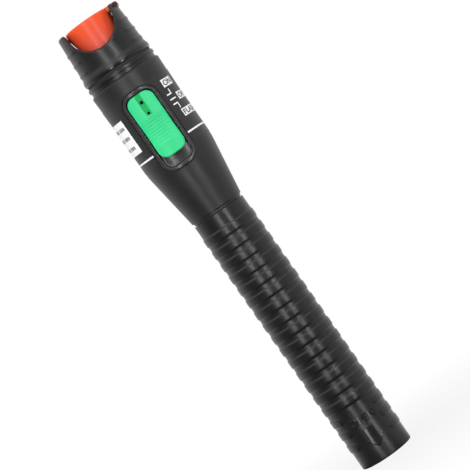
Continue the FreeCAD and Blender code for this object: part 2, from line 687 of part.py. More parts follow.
def make_legend_film():
    """Thin printed film round the housing, with a window for the bezel."""
    film = turned(skin_outline(film_low(), Z_SHOULDER - FILM_HIGH_MARGIN, SKIN_GAP, FILM_THICKNESS))
    window = front_plate(
        BEZEL_WIDTH + 2 * FILM_WINDOW_GAP,
        BEZEL_LENGTH + 2 * FILM_WINDOW_GAP,
        BEZEL_CORNER + FILM_WINDOW_GAP,
        Z_BEZEL_MIDDLE,
        HOUSING_BORE / 2,
        FAR,
    )
    return film.cut(window)


def make_side_label():
    """White paper label on the -X side, over the film."""
    low = film_low() + LABEL_RAISE
    sweep = math.degrees(LABEL_WIDTH / HOUSING_RADIUS)
    section = skin_outline(low, low + LABEL_HEIGHT, FILM_THICKNESS + 2 * SKIN_GAP, LABEL_THICKNESS)
    return turned_between(section, LABEL_START_DEG - sweep, LABEL_START_DEG)


# ---- switch -------------------------------------------------------------------------------

def make_switch_bezel():
    """Tub that frames the slider: a rim that follows the housing, and a floor with a slot."""
    tub = front_plate(BEZEL_WIDTH, BEZEL_LENGTH, BEZEL_CORNER, Z_BEZEL_MIDDLE, BEZEL_BACK, FAR)
    tub = tub.common(disc(HOUSING_RADIUS + BEZEL_PROUD, 0, Z_TOP))
    pocket = front_plate(POCKET_WIDTH, POCKET_LENGTH, POCKET_CORNER, Z_BEZEL_MIDDLE, POCKET_FLOOR, FAR)
    slot_length = STEM_LENGTH + SLIDER_TRAVEL + 2 * SLIDER_END_GAP
    slot = block(
        about(0, STEM_WIDTH + 2 * SLIDER_SIDE_GAP), (-FAR, 0), about(Z_SWITCH, slot_length)
    )
    return tub.cut(pocket).cut(slot)


def make_slider_button():
    """Thumb slider: curved face, light channel with two pin holes, ridged dish and a stem behind."""
    body = front_plate(SLIDER_WIDTH, SLIDER_LENGTH, SLIDER_CORNER, Z_SLIDER_MIDDLE, SLIDER_BACK, FAR)
    body = body.common(disc(SLIDER_FACE, 0, Z_TOP))
    rim = [e for e in body.Edges if on_face(e, SLIDER_FACE)]
    body = body.makeChamfer(SLIDER_EDGE, rim)
    channel = block(
        about(0, CHANNEL_WIDTH), (-FAR, CHANNEL_DEPTH - SLIDER_FACE), (Z_SLIDER_TOP - CHANNEL_LENGTH, Z_TOP)
    )
    body = body.cut(channel)
    for radius, drop in ((LAMP_HOLE_RADIUS, LAMP_HOLE_DROP), (PIN_HOLE_RADIUS, PIN_HOLE_DROP)):
        floor = CHANNEL_DEPTH + HOLE_DEPTH - SLIDER_FACE
        body = body.cut(rod_along_y(radius, 0, Z_SLIDER_TOP - drop, -FAR, floor))
    dish_middle = Z_SLIDER_TOP - THUMB_DISH_TOP_DROP - THUMB_DISH_LENGTH / 2
    dish_radius = (THUMB_DISH_LENGTH ** 2 / 4 + THUMB_DISH_DEPTH ** 2) / (2 * THUMB_DISH_DEPTH)
    dish_centre = FreeCAD.Vector(-FAR / 2, THUMB_DISH_DEPTH - SLIDER_FACE - dish_radius, dish_middle)
    dish = Part.makeCylinder(dish_radius, FAR, dish_centre, X_AXIS)
    body = body.cut(dish)
    pitch = THUMB_DISH_LENGTH / (RIDGE_COUNT + 1)
    ridges = []
    for i in range(RIDGE_COUNT):
        offset = pitch * (i + 1) - THUMB_DISH_LENGTH / 2
        depth = math.sqrt(dish_radius ** 2 - offset ** 2)
        place = FreeCAD.Vector(-RIDGE_LENGTH / 2, dish_centre.y + depth, dish_middle + offset)
        ridges.append(Part.makeCylinder(RIDGE_RADIUS, RIDGE_LENGTH, place, X_AXIS))
    stem = block(about(0, STEM_WIDTH), (-SLIDER_BACK, -STEM_END), about(Z_SLIDER_MIDDLE, STEM_LENGTH))
    return joined([body, stem] + ridges).cut(lever_block(LEVER_FIT_GAP))


def on_face(edge, radius):
    """True if an edge lies all along on the cylinder of a radius about the pen's axis."""
    return all(abs(math.hypot(p.x, p.y) - radius) < 1e-3 for p in edge.discretize(5))


def lever_block(gap):
    """The switch lever's block, grown by a gap."""
    return block(
        about(0, LEVER_WIDTH + 2 * gap),
        (-LEVER_TIP - gap, -SWITCH_FACE + SWITCH_SLOT_DEPTH),
        about(Z_SLIDER_MIDDLE, LEVER_LENGTH + 2 * gap),
    )


def make_switch_lever():
    """Lever of the slide switch, held in the slider's stem."""
    foot = block(
        about(0, LEVER_WIDTH),
        (-SWITCH_FACE + SLIDER_FLOOR_GAP, -SWITCH_FACE + SWITCH_SLOT_DEPTH - SLIDER_FLOOR_GAP),
        about(Z_SLIDER_MIDDLE, LEVER_LENGTH),
    )
    post = lever_block(0).cut(block((-FAR, FAR), (-SWITCH_FACE + SLIDER_FLOOR_GAP, FAR), (0, Z_TOP)))
    return joined([post, foot])


def make_slide_switch():
    """Metal-cased slide switch on the board, with a slot for its lever."""
    case = block(
        about(0, SLIDE_SWITCH_WIDTH), (-SWITCH_FACE, -BOARD_FACE), about(Z_SWITCH, SLIDE_SWITCH_LENGTH)
    )
    slot = block(
        about(0, LEVER_WIDTH + 2 * SLIDER_SIDE_GAP),
        (-SWITCH_FACE, -SWITCH_FACE + SWITCH_SLOT_DEPTH),
        about(Z_SWITCH, LEVER_LENGTH + SLIDER_TRAVEL + 2 * SLIDER_END_GAP),
    )
    return case.cut(slot)


def switch_pin_heights():
    """Heights of the slide switch's solder pins."""
    middle = (SWITCH_PIN_COUNT - 1) / 2
    return [Z_SWITCH + SWITCH_PIN_PITCH * (i - middle) for i in range(SWITCH_PIN_COUNT)]


def make_switch_pins():
    """Solder pins of the slide switch, through the board."""
    tail = -BOARD_BACK + SWITCH_PIN_TAIL
    return Part.makeCompound([
        rod_along_y(SWITCH_PIN_RADIUS, SLIDE_SWITCH_WIDTH / 3, z, -BOARD_FACE, tail)
        for z in switch_pin_heights()
    ])


# ---- board ----------------------------------------------------------------------------------

def make_driver_board():
    """Circuit board with holes for the screws, the switch's pins and the diode's legs."""
    board = block(about(0, BOARD_WIDTH), (-BOARD_FACE, -BOARD_BACK), (Z_BOARD, Z_BOARD_TOP))
    holes = [rod_along_y(BOARD_SCREW_RADIUS + 0.1, x, z, -BOARD_FACE, -BOARD_BACK) for x, z in screw_places()]
    holes += [
        rod_along_y(SWITCH_PIN_RADIUS + 0.05, SLIDE_SWITCH_WIDTH / 3, z, -BOARD_FACE, -BOARD_BACK)
        for z in switch_pin_heights()
    ]
    holes += [
        rod_along_y(DIODE_LEG_RADIUS + 0.05, x, z, -BOARD_FACE, -BOARD_BACK) for x, z in diode_leg_places()
    ]
    for hole in holes:
        board = board.cut(hole)
    return board


def on_board(size, x, z):
    """Component that stands on the board's face."""
    return block(about(x, size[0]), (-BOARD_FACE - size[1], -BOARD_FACE), about(z, size[2]))


def make_driver_chip():
    """Driver chip, above where the contacts land."""
    return on_board(CHIP_SIZE, 0, Z_BOARD + STRIP_WIDTH + 1.0 + CHIP_SIZE[2] / 2)


def make_capacitor():
    """Supply capacitor beside the lower screw."""
    return on_board(CAPACITOR_SIZE, BOARD_WIDTH / 2 - CAPACITOR_SIZE[0] / 2 - 0.4, Z_LOWER_SCREW)


def make_chip_resistors():
    """Column of chip resistors along the board's edge."""
    x = RESISTOR_SIZE[0] / 2 + 0.5 - BOARD_WIDTH / 2
    low = Z_LOWER_SCREW - RESISTOR_PITCH
    heights = [low + RESISTOR_PITCH * i for i in range(RESISTOR_COUNT)]
    return Part.makeCompound([on_board(RESISTOR_SIZE, x, z) for z in heights])


def make_board_screws():
    """Pan-head screws that hold the board to the cradle."""
    screws = []
    for x, z in screw_places():
        head = rod_along_y(BOARD_SCREW_HEAD_RADIUS, x, z, -BOARD_FACE - BOARD_SCREW_HEAD_HEIGHT, -BOARD_FACE)
        end = -BOARD_FACE + BOARD_SCREW_LENGTH - 0.1
        shank = rod_along_y(BOARD_SCREW_RADIUS - 0.02, x, z, -BOARD_FACE, end)
        drive = block(
            about(x, 2.0 * BOARD_SCREW_RADIUS),
            (-BOARD_FACE - BOARD_SCREW_HEAD_HEIGHT, -BOARD_FACE - BOARD_SCREW_HEAD_HEIGHT / 2),
            about(z, BOARD_SCREW_RADIUS / 2),
        )
        screws.append(joined([head, shank]).cut(drive))
    return Part.makeCompound(screws)


# ---- laser and port ---------------------------------------------------------------------------

def make_laser_barrel():
    """Brass barrel of the laser module, bored for the diode, the beam and the lens."""
    diode_bore = DIODE_FLANGE_RADIUS + OPTIC_FIT_GAP
    lens_bore = LENS_RADIUS + OPTIC_FIT_GAP
    z_seat = Z_DIODE + DIODE_FLANGE_HEIGHT
    return turned([
        (diode_bore, Z_MODULE),
        (MODULE_RADIUS, Z_MODULE, 0.2),
        (MODULE_RADIUS, Z_MODULE_TOP, 0.2),
        (lens_bore, Z_MODULE_TOP),
        (lens_bore, Z_LENS),
        (BEAM_RADIUS, Z_LENS),
        (BEAM_RADIUS, z_seat),
        (diode_bore, z_seat),
    ])


def diode_leg_places():
    """(x, z) at which the diode's three legs pass through the board."""
    return [(DIODE_LEG_PITCH * i, Z_MODULE - DIODE_LEG_DROP) for i in (-1, 0, 1)]


def make_laser_diode():
    """Laser diode in its can; its legs run down and bend into the board."""
    parts = [
        disc(DIODE_FLANGE_RADIUS, Z_DIODE, Z_DIODE + DIODE_FLANGE_HEIGHT),
        disc(DIODE_CAN_RADIUS, Z_DIODE, Z_DIODE + DIODE_FLANGE_HEIGHT + DIODE_CAN_HEIGHT),
    ]
    for x, z_end in diode_leg_places():
        turn = z_end + DIODE_LEG_BEND
        away = DIODE_LEG_BEND * (1 - math.sqrt(0.5))
        run = Part.LineSegment(FreeCAD.Vector(x, 0, Z_DIODE + 0.2), FreeCAD.Vector(x, 0, turn)).toShape()
        bend = Part.Arc(
            FreeCAD.Vector(x, 0, turn),
            FreeCAD.Vector(x, -away, z_end + away),
            FreeCAD.Vector(x, -DIODE_LEG_BEND, z_end),
        ).toShape()
        reach = Part.LineSegment(
            FreeCAD.Vector(x, -DIODE_LEG_BEND, z_end), FreeCAD.Vector(x, -BOARD_FACE - 0.3, z_end)
        ).toShape()
        start = FreeCAD.Vector(x, 0, Z_DIODE + 0.2)
        section = Part.Wire(Part.Circle(start, Z_AXIS, DIODE_LEG_RADIUS).toShape())
        parts.append(Part.Wire([run, bend, reach]).makePipeShell([section], True, False))
    return joined(parts)


def make_focus_lens():
    """Plano-convex lens, flat side to the diode."""
    crown = (LENS_RADIUS ** 2 + LENS_SAG ** 2) / (2 * LENS_SAG)
    top = Z_LENS + LENS_EDGE + LENS_SAG
    ball = Part.makeSphere(crown, FreeCAD.Vector(0, 0, top - crown))
    return disc(LENS_RADIUS, Z_LENS, top).common(ball)


def make_lens_retainer():
    """Ring that holds the lens in its bore."""
    low = Z_LENS + LENS_EDGE
    seat = low + LENS_SAG / 2
    return tube(LENS_RADIUS, LENS_RADIUS - RETAINER_WALL, seat, seat + RETAINER_HEIGHT)


def make_ferrule_adapter():
    """Metal port: socket over the laser barrel, flange, hexagon and the split sleeve's tube."""
    bore = MODULE_RADIUS + MODULE_FIT_GAP
    flange_radius = NECK_BORE - ADAPTER_FLANGE_GAP
    sleeve_bore = PORT_SLEEVE_RADIUS + OPTIC_FIT_GAP
    body = turned([
        (bore, Z_ADAPTER_SOCKET),
        (bore + ADAPTER_SOCKET_WALL, Z_ADAPTER_SOCKET, 0.2),
        (bore + ADAPTER_SOCKET_WALL, Z_LEDGE),
        (flange_radius, Z_LEDGE),
        (flange_radius, Z_NUT),
        (ADAPTER_TUBE_RADIUS, Z_NUT),
        (ADAPTER_TUBE_RADIUS, Z_PORT_TOP, 0.4),
        (PORT_LIP_RADIUS, Z_PORT_TOP, 0.2),
        (PORT_LIP_RADIUS, Z_PORT_LIP),
        (sleeve_bore, Z_PORT_LIP),
        (sleeve_bore, Z_PORT_SLEEVE),
        (PORT_RADIUS - 0.3, Z_PORT_SLEEVE),
        (PORT_RADIUS - 0.3, Z_LEDGE - 0.5),
        (bore, Z_LEDGE - 0.5),
    ])
    side = ADAPTER_HEX_WIDTH / 2 / math.cos(math.radians(30))
    corners = [
        FreeCAD.Vector(side * math.cos(math.radians(60 * i)), side * math.sin(math.radians(60 * i)), Z_NUT)
        for i in range(7)
    ]
    hexagon = Part.Face(Part.makePolygon(corners))
    hexagon = hexagon.extrude(FreeCAD.Vector(0, 0, NUT_HEIGHT + ADAPTER_HEX_HEIGHT))
    return joined([body, hexagon.cut(disc(ADAPTER_TUBE_RADIUS - 0.5, 0, Z_TOP))])


def make_port_sleeve():
    """Split ceramic sleeve that takes a 2.5 mm ferrule."""
    sleeve = tube(PORT_SLEEVE_RADIUS, PORT_RADIUS, Z_PORT_SLEEVE, Z_PORT_LIP)
    return sleeve.cut(block(about(0, PORT_SLEEVE_SLIT), (0, FAR), (Z_PORT_SLEEVE, Z_PORT_LIP)))


def make_adapter_nut():
    """Slotted ring that clamps the adapter's flange on its ledge."""
    nut = tube(NECK_BORE - NECK_FIT_GAP, NUT_BORE_RADIUS, Z_NUT, Z_NUT + NUT_HEIGHT)
    top = Z_NUT + NUT_HEIGHT
    return nut.cut(block((-FAR, FAR), about(0, NUT_SLOT_WIDTH), (top - NUT_SLOT_DEPTH, top)))


# ---- head ---------------------------------------------------------------------------------------

def make_lock_ring():
    """Ring between housing and crown: a low hub below, a chamfered flange above."""
    bore = NECK_RADIUS + NECK_FIT_GAP
    hub = LOCK_RING_RADIUS - LOCK_RING_HUB_STEP
    return turned([
        (bore, Z_SHOULDER),
        (hub, Z_SHOULDER),
        (hub, Z_LOCK_FLANGE),
        (LOCK_RING_RADIUS, Z_LOCK_FLANGE),
        (LOCK_RING_RADIUS, Z_GASKET - LOCK_RING_CHAMFER),
        (LOCK_RING_RADIUS - LOCK_RING_CHAMFER, Z_GASKET),
        (bore, Z_GASKET),
    ])


def make_neck_gasket():
    """Flat rubber ring under the crown."""
    return tube(LOCK_RING_RADIUS - GASKET_STEP, NECK_RADIUS + NECK_FIT_GAP, Z_GASKET, Z_CROWN)


def scoop():
    """U-shaped tool that opens the crown at the front and the back."""
    floor, side = Z_SCOOP, Z_SCOOP + SCOOP_HALF_WIDTH
    top = Z_TOP + 1.0
    left, right = FreeCAD.Vector(-SCOOP_HALF_WIDTH, 0, side), FreeCAD.Vector(SCOOP_HALF_WIDTH, 0, side)
    top_left = FreeCAD.Vector(-SCOOP_HALF_WIDTH - SCOOP_FLARE, 0, top)
    top_right = FreeCAD.Vector(SCOOP_HALF_WIDTH + SCOOP_FLARE, 0, top)
    edges = [
        Part.Arc(left, FreeCAD.Vector(0, 0, floor), right).toShape(),
        Part.LineSegment(right, top_right).toShape(),
        Part.LineSegment(top_right, top_left).toShape(),
        Part.LineSegment(top_left, left).toShape(),
    ]
    face = Part.Face(Part.Wire(edges))
    face.translate(FreeCAD.Vector(0, -FAR, 0))
    return face.extrude(FreeCAD.Vector(0, 2 * FAR, 0))


def crown_radius(z):
    """Outer radius of the crown above its lip."""
    waist = Z_CROWN + CROWN_LIP_HEIGHT
    return CROWN_WAIST_RADIUS + (CROWN_TOP_RADIUS - CROWN_WAIST_RADIUS) * (z - waist) / (Z_TOP - waist)


def make_crown():
    """Head collar: lipped tube with two scoops, side grip ribs and the hinge's middle knuckle."""
    waist = Z_CROWN + CROWN_LIP_HEIGHT
    neck_bore = NECK_RADIUS + NECK_FIT_GAP
    step = Z_NECK_TOP + HINGE_FLOOR_GAP
    crown = turned([
        (neck_bore, Z_CROWN),
        (CROWN_LIP_RADIUS, Z_CROWN, 0.3),
        (CROWN_LIP_RADIUS, waist - 0.6, 0.4),
        (crown_radius(waist), waist),
        (CROWN_TOP_RADIUS, Z_TOP, CROWN_ROUND),
        (CROWN_BORE_RADIUS, Z_TOP),
        (CROWN_BORE_RADIUS, step),
        (neck_bore, step),
    ])
    side_width = 2 * CROWN_TOP_RADIUS * math.sin(math.radians(GRIP_RIB_HALF_ANGLE_DEG))
    sides = block((-FAR, FAR), about(0, side_width), (Z_CROWN, Z_TOP))
    for i in range(GRIP_RIB_COUNT):
        z = Z_TOP - GRIP_RIB_TOP_DROP - GRIP_RIB_PITCH * i
        middle = crown_radius(z) + GRIP_RIB_PROUD - GRIP_RIB_RADIUS
        rib = Part.makeTorus(middle, GRIP_RIB_RADIUS, FreeCAD.Vector(0, 0, z), Z_AXIS)
        crown = crown.fuse(rib.common(sides))
    crown = crown.cut(scoop())
    for side in (-1, 1):
        near, far = CENTRE_KNUCKLE_WIDTH / 2, SIDE_KNUCKLE_END + HINGE_GAP
        span = (near, far) if side > 0 else (-far, -near)
        floor = HINGE_Z - KNUCKLE_RADIUS - HINGE_FLOOR_GAP
        crown = crown.cut(block((0, FAR), span, (floor, FAR * 5)))
    half = CENTRE_KNUCKLE_WIDTH / 2
    crown = crown.fuse(rod_along_y(KNUCKLE_RADIUS, HINGE_X, HINGE_Z, -half, half))
    crown = crown.cut(rod_along_y(HINGE_PIN_RADIUS + HINGE_PIN_PRESS_GAP, HINGE_X, HINGE_Z, -half, half))
    notch_width = CAP_LUG_WIDTH + 4 * HINGE_GAP
    notch_floor = Z_TOP - CAP_FLANGE_HEIGHT - HINGE_FLOOR_GAP
    notch_reach = CAP_FLANGE_RADIUS + CAP_LUG_REACH + 2 * HINGE_FLOOR_GAP
    notch = block((-notch_reach, 0), about(0, notch_width), (notch_floor, FAR * 5))
    return crown.cut(notch).removeSplitter()


def make_dust_cap():
    """Flip cap: flanged cup with two hinge knuckles at +X and a lug at -X."""
    low = Z_SCOOP - CAP_COVER
    flange_low = Z_TOP - CAP_FLANGE_HEIGHT
    cap = turned([
        (0, Z_TOP - CAP_ROOF),
        (CAP_RADIUS - CAP_WALL, Z_TOP - CAP_ROOF, 0.6),
        (CAP_RADIUS - CAP_WALL, low),
        (CAP_RADIUS, low),
        (CAP_RADIUS, flange_low),
        (CAP_FLANGE_RADIUS, flange_low),
        (CAP_FLANGE_RADIUS, Z_TOP, CAP_EDGE_ROUND),
        (0, Z_TOP),
    ])
    swept = rod_along_y(HINGE_X + SCOOP_HALF_WIDTH - CAP_SWING_GAP, HINGE_X, HINGE_Z, -FAR, FAR)
    skirt_space = block((-FAR, FAR), (-FAR, FAR), (low - 1, flange_low))
    cap = cap.cut(skirt_space.cut(swept))
    lug = block(
        (-CAP_FLANGE_RADIUS - CAP_LUG_REACH, -CAP_FLANGE_RADIUS + CAP_WALL),
        about(0, CAP_LUG_WIDTH),
        (flange_low, flange_low + CAP_LUG_HEIGHT),
    )
    pieces = [cap, lug]
    for side in (-1, 1):
        start = SIDE_KNUCKLE_START if side > 0 else -SIDE_KNUCKLE_END
        end = start + SIDE_KNUCKLE_WIDTH
        pieces.append(rod_along_y(KNUCKLE_RADIUS, HINGE_X, HINGE_Z, start, end))
        pieces.append(block(
            (CAP_FLANGE_RADIUS - CAP_WALL, HINGE_X), (start, end), (Z_TOP - 1.9 * KNUCKLE_RADIUS, Z_TOP)
        ))
    cap = joined(pieces)
    hole = HINGE_PIN_RADIUS + HINGE_PIN_RUNNING_GAP
    return cap.cut(rod_along_y(hole, HINGE_X, HINGE_Z, -SIDE_KNUCKLE_END, SIDE_KNUCKLE_END))


def make_hinge_pin():
    """Steel pin through the three knuckles."""
    return rod_along_y(HINGE_PIN_RADIUS, HINGE_X, HINGE_Z, -SIDE_KNUCKLE_END, SIDE_KNUCKLE_END)


PIECES = {
    "crown": make_crown,
    "dust_cap": make_dust_cap,
    "cap_hinge_pin": make_hinge_pin,
    "lock_ring": make_lock_ring,
    "neck_gasket": make_neck_gasket,
    "switch_housing": make_switch_housing,
    "legend_film": make_legend_film,
    "side_label": make_side_label,
    "switch_bezel": make_switch_bezel,
    "slider_button": make_slider_button,
    "switch_lever": make_switch_lever,
    "slide_switch_case": make_slide_switch,
    "switch_pins": make_switch_pins,
    "driver_board": make_driver_board,
    "driver_chip": make_driver_chip,
    "supply_capacitor": make_capacitor,
    "chip_resistors": make_chip_resistors,
    "board_screws": make_board_screws,
    "laser_barrel": make_laser_barrel,
    "laser_diode": make_laser_diode,
    "focus_lens": make_focus_lens,
    "lens_retainer": make_lens_retainer,
    "ferrule_adapter": make_ferrule_adapter,
    "port_sleeve": make_port_sleeve,
    "adapter_nut": make_adapter_nut,
    "battery_carrier": make_battery_carrier,
    "sleeve_ring": make_sleeve_ring,
    "return_strip": make_return_strip,
    "positive_contact": make_positive_contact,
    "tail_spring": make_tail_spring,
    "cell_rear": lambda: make_cell(Z_CELL_REAR),
    "cell_front": lambda: make_cell(Z_CELL_FRONT),
    "grip_sleeve": make_grip_sleeve,
}


def main():
    """Builds every piece and writes one STEP file for each."""
    os.makedirs("parts", exist_ok=True)
    for name, make in PIECES.items():
        shape = make()
        shape.exportStep(os.path.join("parts", name + ".step"))
        box = shape.BoundBox
        print(f"{name:18s} solids {len(shape.Solids)} volume {shape.Volume:9.2f} valid {shape.isValid()}"
              f" z {box.ZMin:7.2f} to {box.ZMax:7.2f}")


main()
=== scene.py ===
"""Looks of a pen-type visual fault locator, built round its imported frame."""

import json
import logging
import math
from dataclasses import dataclass
from enum import Enum
from typing import Callable, Sequence

import bpy
from mathutils import Matrix, Vector


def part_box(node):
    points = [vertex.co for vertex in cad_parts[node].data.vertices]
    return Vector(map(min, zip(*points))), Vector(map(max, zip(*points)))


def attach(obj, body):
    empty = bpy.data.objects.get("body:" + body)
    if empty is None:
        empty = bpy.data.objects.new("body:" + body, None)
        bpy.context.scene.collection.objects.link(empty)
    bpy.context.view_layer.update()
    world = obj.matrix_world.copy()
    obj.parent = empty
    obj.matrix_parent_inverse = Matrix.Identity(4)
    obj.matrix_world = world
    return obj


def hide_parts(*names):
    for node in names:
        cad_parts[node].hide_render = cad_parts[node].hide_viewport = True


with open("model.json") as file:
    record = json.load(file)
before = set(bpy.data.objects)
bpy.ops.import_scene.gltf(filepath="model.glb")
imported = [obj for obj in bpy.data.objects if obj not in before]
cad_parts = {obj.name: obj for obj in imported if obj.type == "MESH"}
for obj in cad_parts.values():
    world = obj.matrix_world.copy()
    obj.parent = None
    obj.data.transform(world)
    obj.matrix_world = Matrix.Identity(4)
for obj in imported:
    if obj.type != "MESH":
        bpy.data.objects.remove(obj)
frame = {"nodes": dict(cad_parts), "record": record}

MM = 0.001
Piece = bpy.types.Object
Tree = bpy.types.NodeTree
Node = bpy.types.Node
Socket = bpy.types.NodeSocket
Material = bpy.types.Material
Finishes = dict[str, Material]
Colour = tuple[float, float, float]
Point = tuple[float, float, float]
Outline = list[tuple[float, float]]
log = logging.getLogger("fault_locator")


class Body(str, Enum):
    """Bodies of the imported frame."""

    PEN = "pen"
    SLIDER = "slider"
    CAP = "cap"
    GRIP = "grip"


# ---- modelling steps ------------------------------------------------------------------


class Bench:
    """Modelling steps, each a short run of Blender's own operators. Sizes are millimetres."""

    letter_boldness = 0.022
    letter_cuts = 4
    bevel_cuts = 3
    bevel_angle = 30.0
    cut_reach = 0.0000001

    @staticmethod
    def clear() -> None:
        """Leave edit mode with nothing selected."""
        if bpy.context.mode != "OBJECT":
            bpy.ops.object.mode_set(mode="OBJECT")
        bpy.ops.object.select_all(action="DESELECT")

    @staticmethod
    def hold(*pieces: Piece) -> None:
        """Select only these pieces, the first one active.

        Args:
            pieces: The pieces to select.
        """
        Bench.clear()
        for piece in pieces:
            piece.select_set(True)
        bpy.context.view_layer.objects.active = pieces[0]

    @staticmethod
    def open(piece: Piece) -> None:
        """Edit a piece with all of it selected.

        Args:
            piece: The piece to edit.
        """
        Bench.hold(piece)
        bpy.ops.object.mode_set(mode="EDIT")
        bpy.ops.mesh.select_all(action="SELECT")

    @staticmethod
    def seat(name: str) -> Piece:
        """Name the piece that was just added and move its place into its mesh.

        Args:
            name: Its name.

        Returns:
            The piece, with its object at the origin.
        """
        piece = bpy.context.object
        piece.name = name
        piece.data.name = name
        Bench.hold(piece)
        bpy.ops.object.transform_apply(location=True, rotation=True, scale=True)
        return piece

    @staticmethod
    def close(piece: Piece, gap: float = 0.0005) -> None:
        """Merge doubled points and turn all faces outwards.

        Args:
            piece: The piece to close.
            gap: Points nearer than this are one.
        """
        Bench.open(piece)
        bpy.ops.mesh.remove_doubles(threshold=gap * MM)
        bpy.ops.mesh.normals_make_consistent(inside=False)
        Bench.clear()

    @staticmethod
    def smooth(piece: Piece, angle: float = 38.0) -> None:
        """Shade smooth, with edges over an angle left sharp.

        Args:
            piece: The piece to shade.
            angle: The angle in degrees.
        """
        Bench.hold(piece)
        bpy.ops.object.shade_smooth_by_angle(angle=math.radians(angle))
        Bench.clear()

    @staticmethod
    def turned(name: str, outline: Outline, steps: int = 128, closed: bool = False) -> Piece:
        """Spin an outline round the pen's axis.

        Args:
            name: The piece's name.
            outline: Points (radius, height) in order.
            steps: Spin steps for the full turn.
            closed: True if the outline is a ring that doesn't touch the axis.

        Returns:
            The turned piece.
        """
        Bench.clear()
        radius, height = outline[0]
        bpy.ops.mesh.primitive_plane_add(size=0.1 * MM, location=(radius * MM, 0, height * MM))
        piece = Bench.seat(name)
        Bench.open(piece)
        bpy.ops.mesh.merge(type="CENTER")
        path = [*outline, outline[0]] if closed else outline
        for (r_from, z_from), (r_to, z_to) in zip(path, path[1:]):
            step = ((r_to - r_from) * MM, 0, (z_to - z_from) * MM)
            bpy.ops.mesh.extrude_region_move(TRANSFORM_OT_translate={"value": step})
        bpy.ops.mesh.select_all(action="SELECT")
        bpy.ops.mesh.spin(steps=steps, angle=math.tau, center=(0, 0, 0), axis=(0, 0, 1))
        Bench.close(piece)
        return piece

    @staticmethod
    def draped(name: str, columns: int, rows: int, spot: Callable[[int, int], Point]) -> Piece:
        """Shape a grid by moving each of its points.

        Args:
            name: The piece's name.
            columns: Cells along the grid.
            rows: Cells across the grid.
            spot: Gives a point for a column and a row.

        Returns:
            The shaped piece, its doubled points merged.
        """
        Bench.clear()
        bpy.ops.mesh.primitive_grid_add(x_subdivisions=columns, y_subdivisions=rows, size=1.0)
        for point in bpy.context.object.data.vertices:
            column = round((point.co.x + 0.5) * columns)
            row = round((point.co.y + 0.5) * rows)
            point.co = Vector(spot(column, row)) * MM
        piece = Bench.seat(name)
        Bench.close(piece)
        return piece

    @staticmethod
    def bevelled(piece: Piece, width: float) -> None:
        """Round a piece's sharp edges with a bevel that is then applied.

        Args:
            piece: The piece to round.
            width: Width of the bevel.
        """
        Bench.hold(piece)
        bpy.ops.object.modifier_add(type="BEVEL")
        bevel = piece.modifiers[-1]
        bevel.width = width * MM
        bevel.segments = Bench.bevel_cuts
        bevel.limit_method = "ANGLE"
        bevel.angle_limit = math.radians(Bench.bevel_angle)
        bpy.ops.object.modifier_apply(modifier=bevel.name)
        Bench.clear()

    @staticmethod
    def block(name: str, low: Sequence[float], high: Sequence[float]) -> Piece:
        """Box between two corners.

        Args:
            name: The box's name.
            low: Lowest corner.
            high: Highest corner.

        Returns:
            The box.
        """
        Bench.clear()
        middle = [(a + b) / 2 * MM for a, b in zip(low, high)]
        bpy.ops.mesh.primitive_cube_add(size=1.0, location=middle)
        bpy.context.object.scale = [(b - a) * MM for a, b in zip(low, high)]
        return Bench.seat(name)

    @staticmethod
    def cut(piece: Piece, *cutters: Piece) -> None:
        """Take cutters out of a piece, and remove the cutters.

        Args:
            piece: The piece to cut.
            cutters: The shapes to take out.
        """
        for cutter in cutters:
            Bench.hold(piece)
            bpy.ops.object.modifier_add(type="BOOLEAN")
            boolean = piece.modifiers[-1]
            boolean.operation = "DIFFERENCE"
            boolean.solver = "MANIFOLD"
            boolean.object = cutter
            bpy.ops.object.modifier_apply(modifier=boolean.name)
            bpy.data.objects.remove(cutter)
        piece.data.materials.clear()

    @staticmethod
    def joined(name: str, *pieces: Piece) -> Piece:
        """Join pieces into one.

        Args:
            name: The joined piece's name.
            pieces: The pieces, which all go into the first.

        Returns:
            The joined piece.
        """
        Bench.hold(*pieces)
        bpy.ops.object.join()
        bpy.context.object.name = name
        return bpy.context.object

    @staticmethod
    def wrapped(
        piece: Piece, step: float, radius: Callable[[float], float], middle_deg: float = 0.0
    ) -> None:
        """Cut a flat piece into upright strips and bend it round the pen: X runs round, -Y stands out.

        Args:
            piece: The piece, drawn flat across X.
            step: Width of a strip.
            radius: Surface radius at a height.
            middle_deg: Where X = 0 goes, in degrees from the front towards +X.
        """
        xs = [point.co.x / MM for point in piece.data.vertices]
        Bench.open(piece)
        first = math.ceil(min(xs) / step + 0.01)
        for i in range(first, math.floor(max(xs) / step) + 1):
            bpy.ops.mesh.select_all(action="SELECT")
            plane = (i * step * MM, 0, 0)
            bpy.ops.mesh.bisect(plane_co=plane, plane_no=(1, 0, 0), threshold=Bench.cut_reach)
        Bench.clear()
        for point in piece.data.vertices:
            around = radius(point.co.z / MM)
            turn = math.radians(middle_deg) + point.co.x / MM / around
            reach = (around - point.co.y / MM) * MM
            point.co = Vector((reach * math.sin(turn), -reach * math.cos(turn), point.co.z))

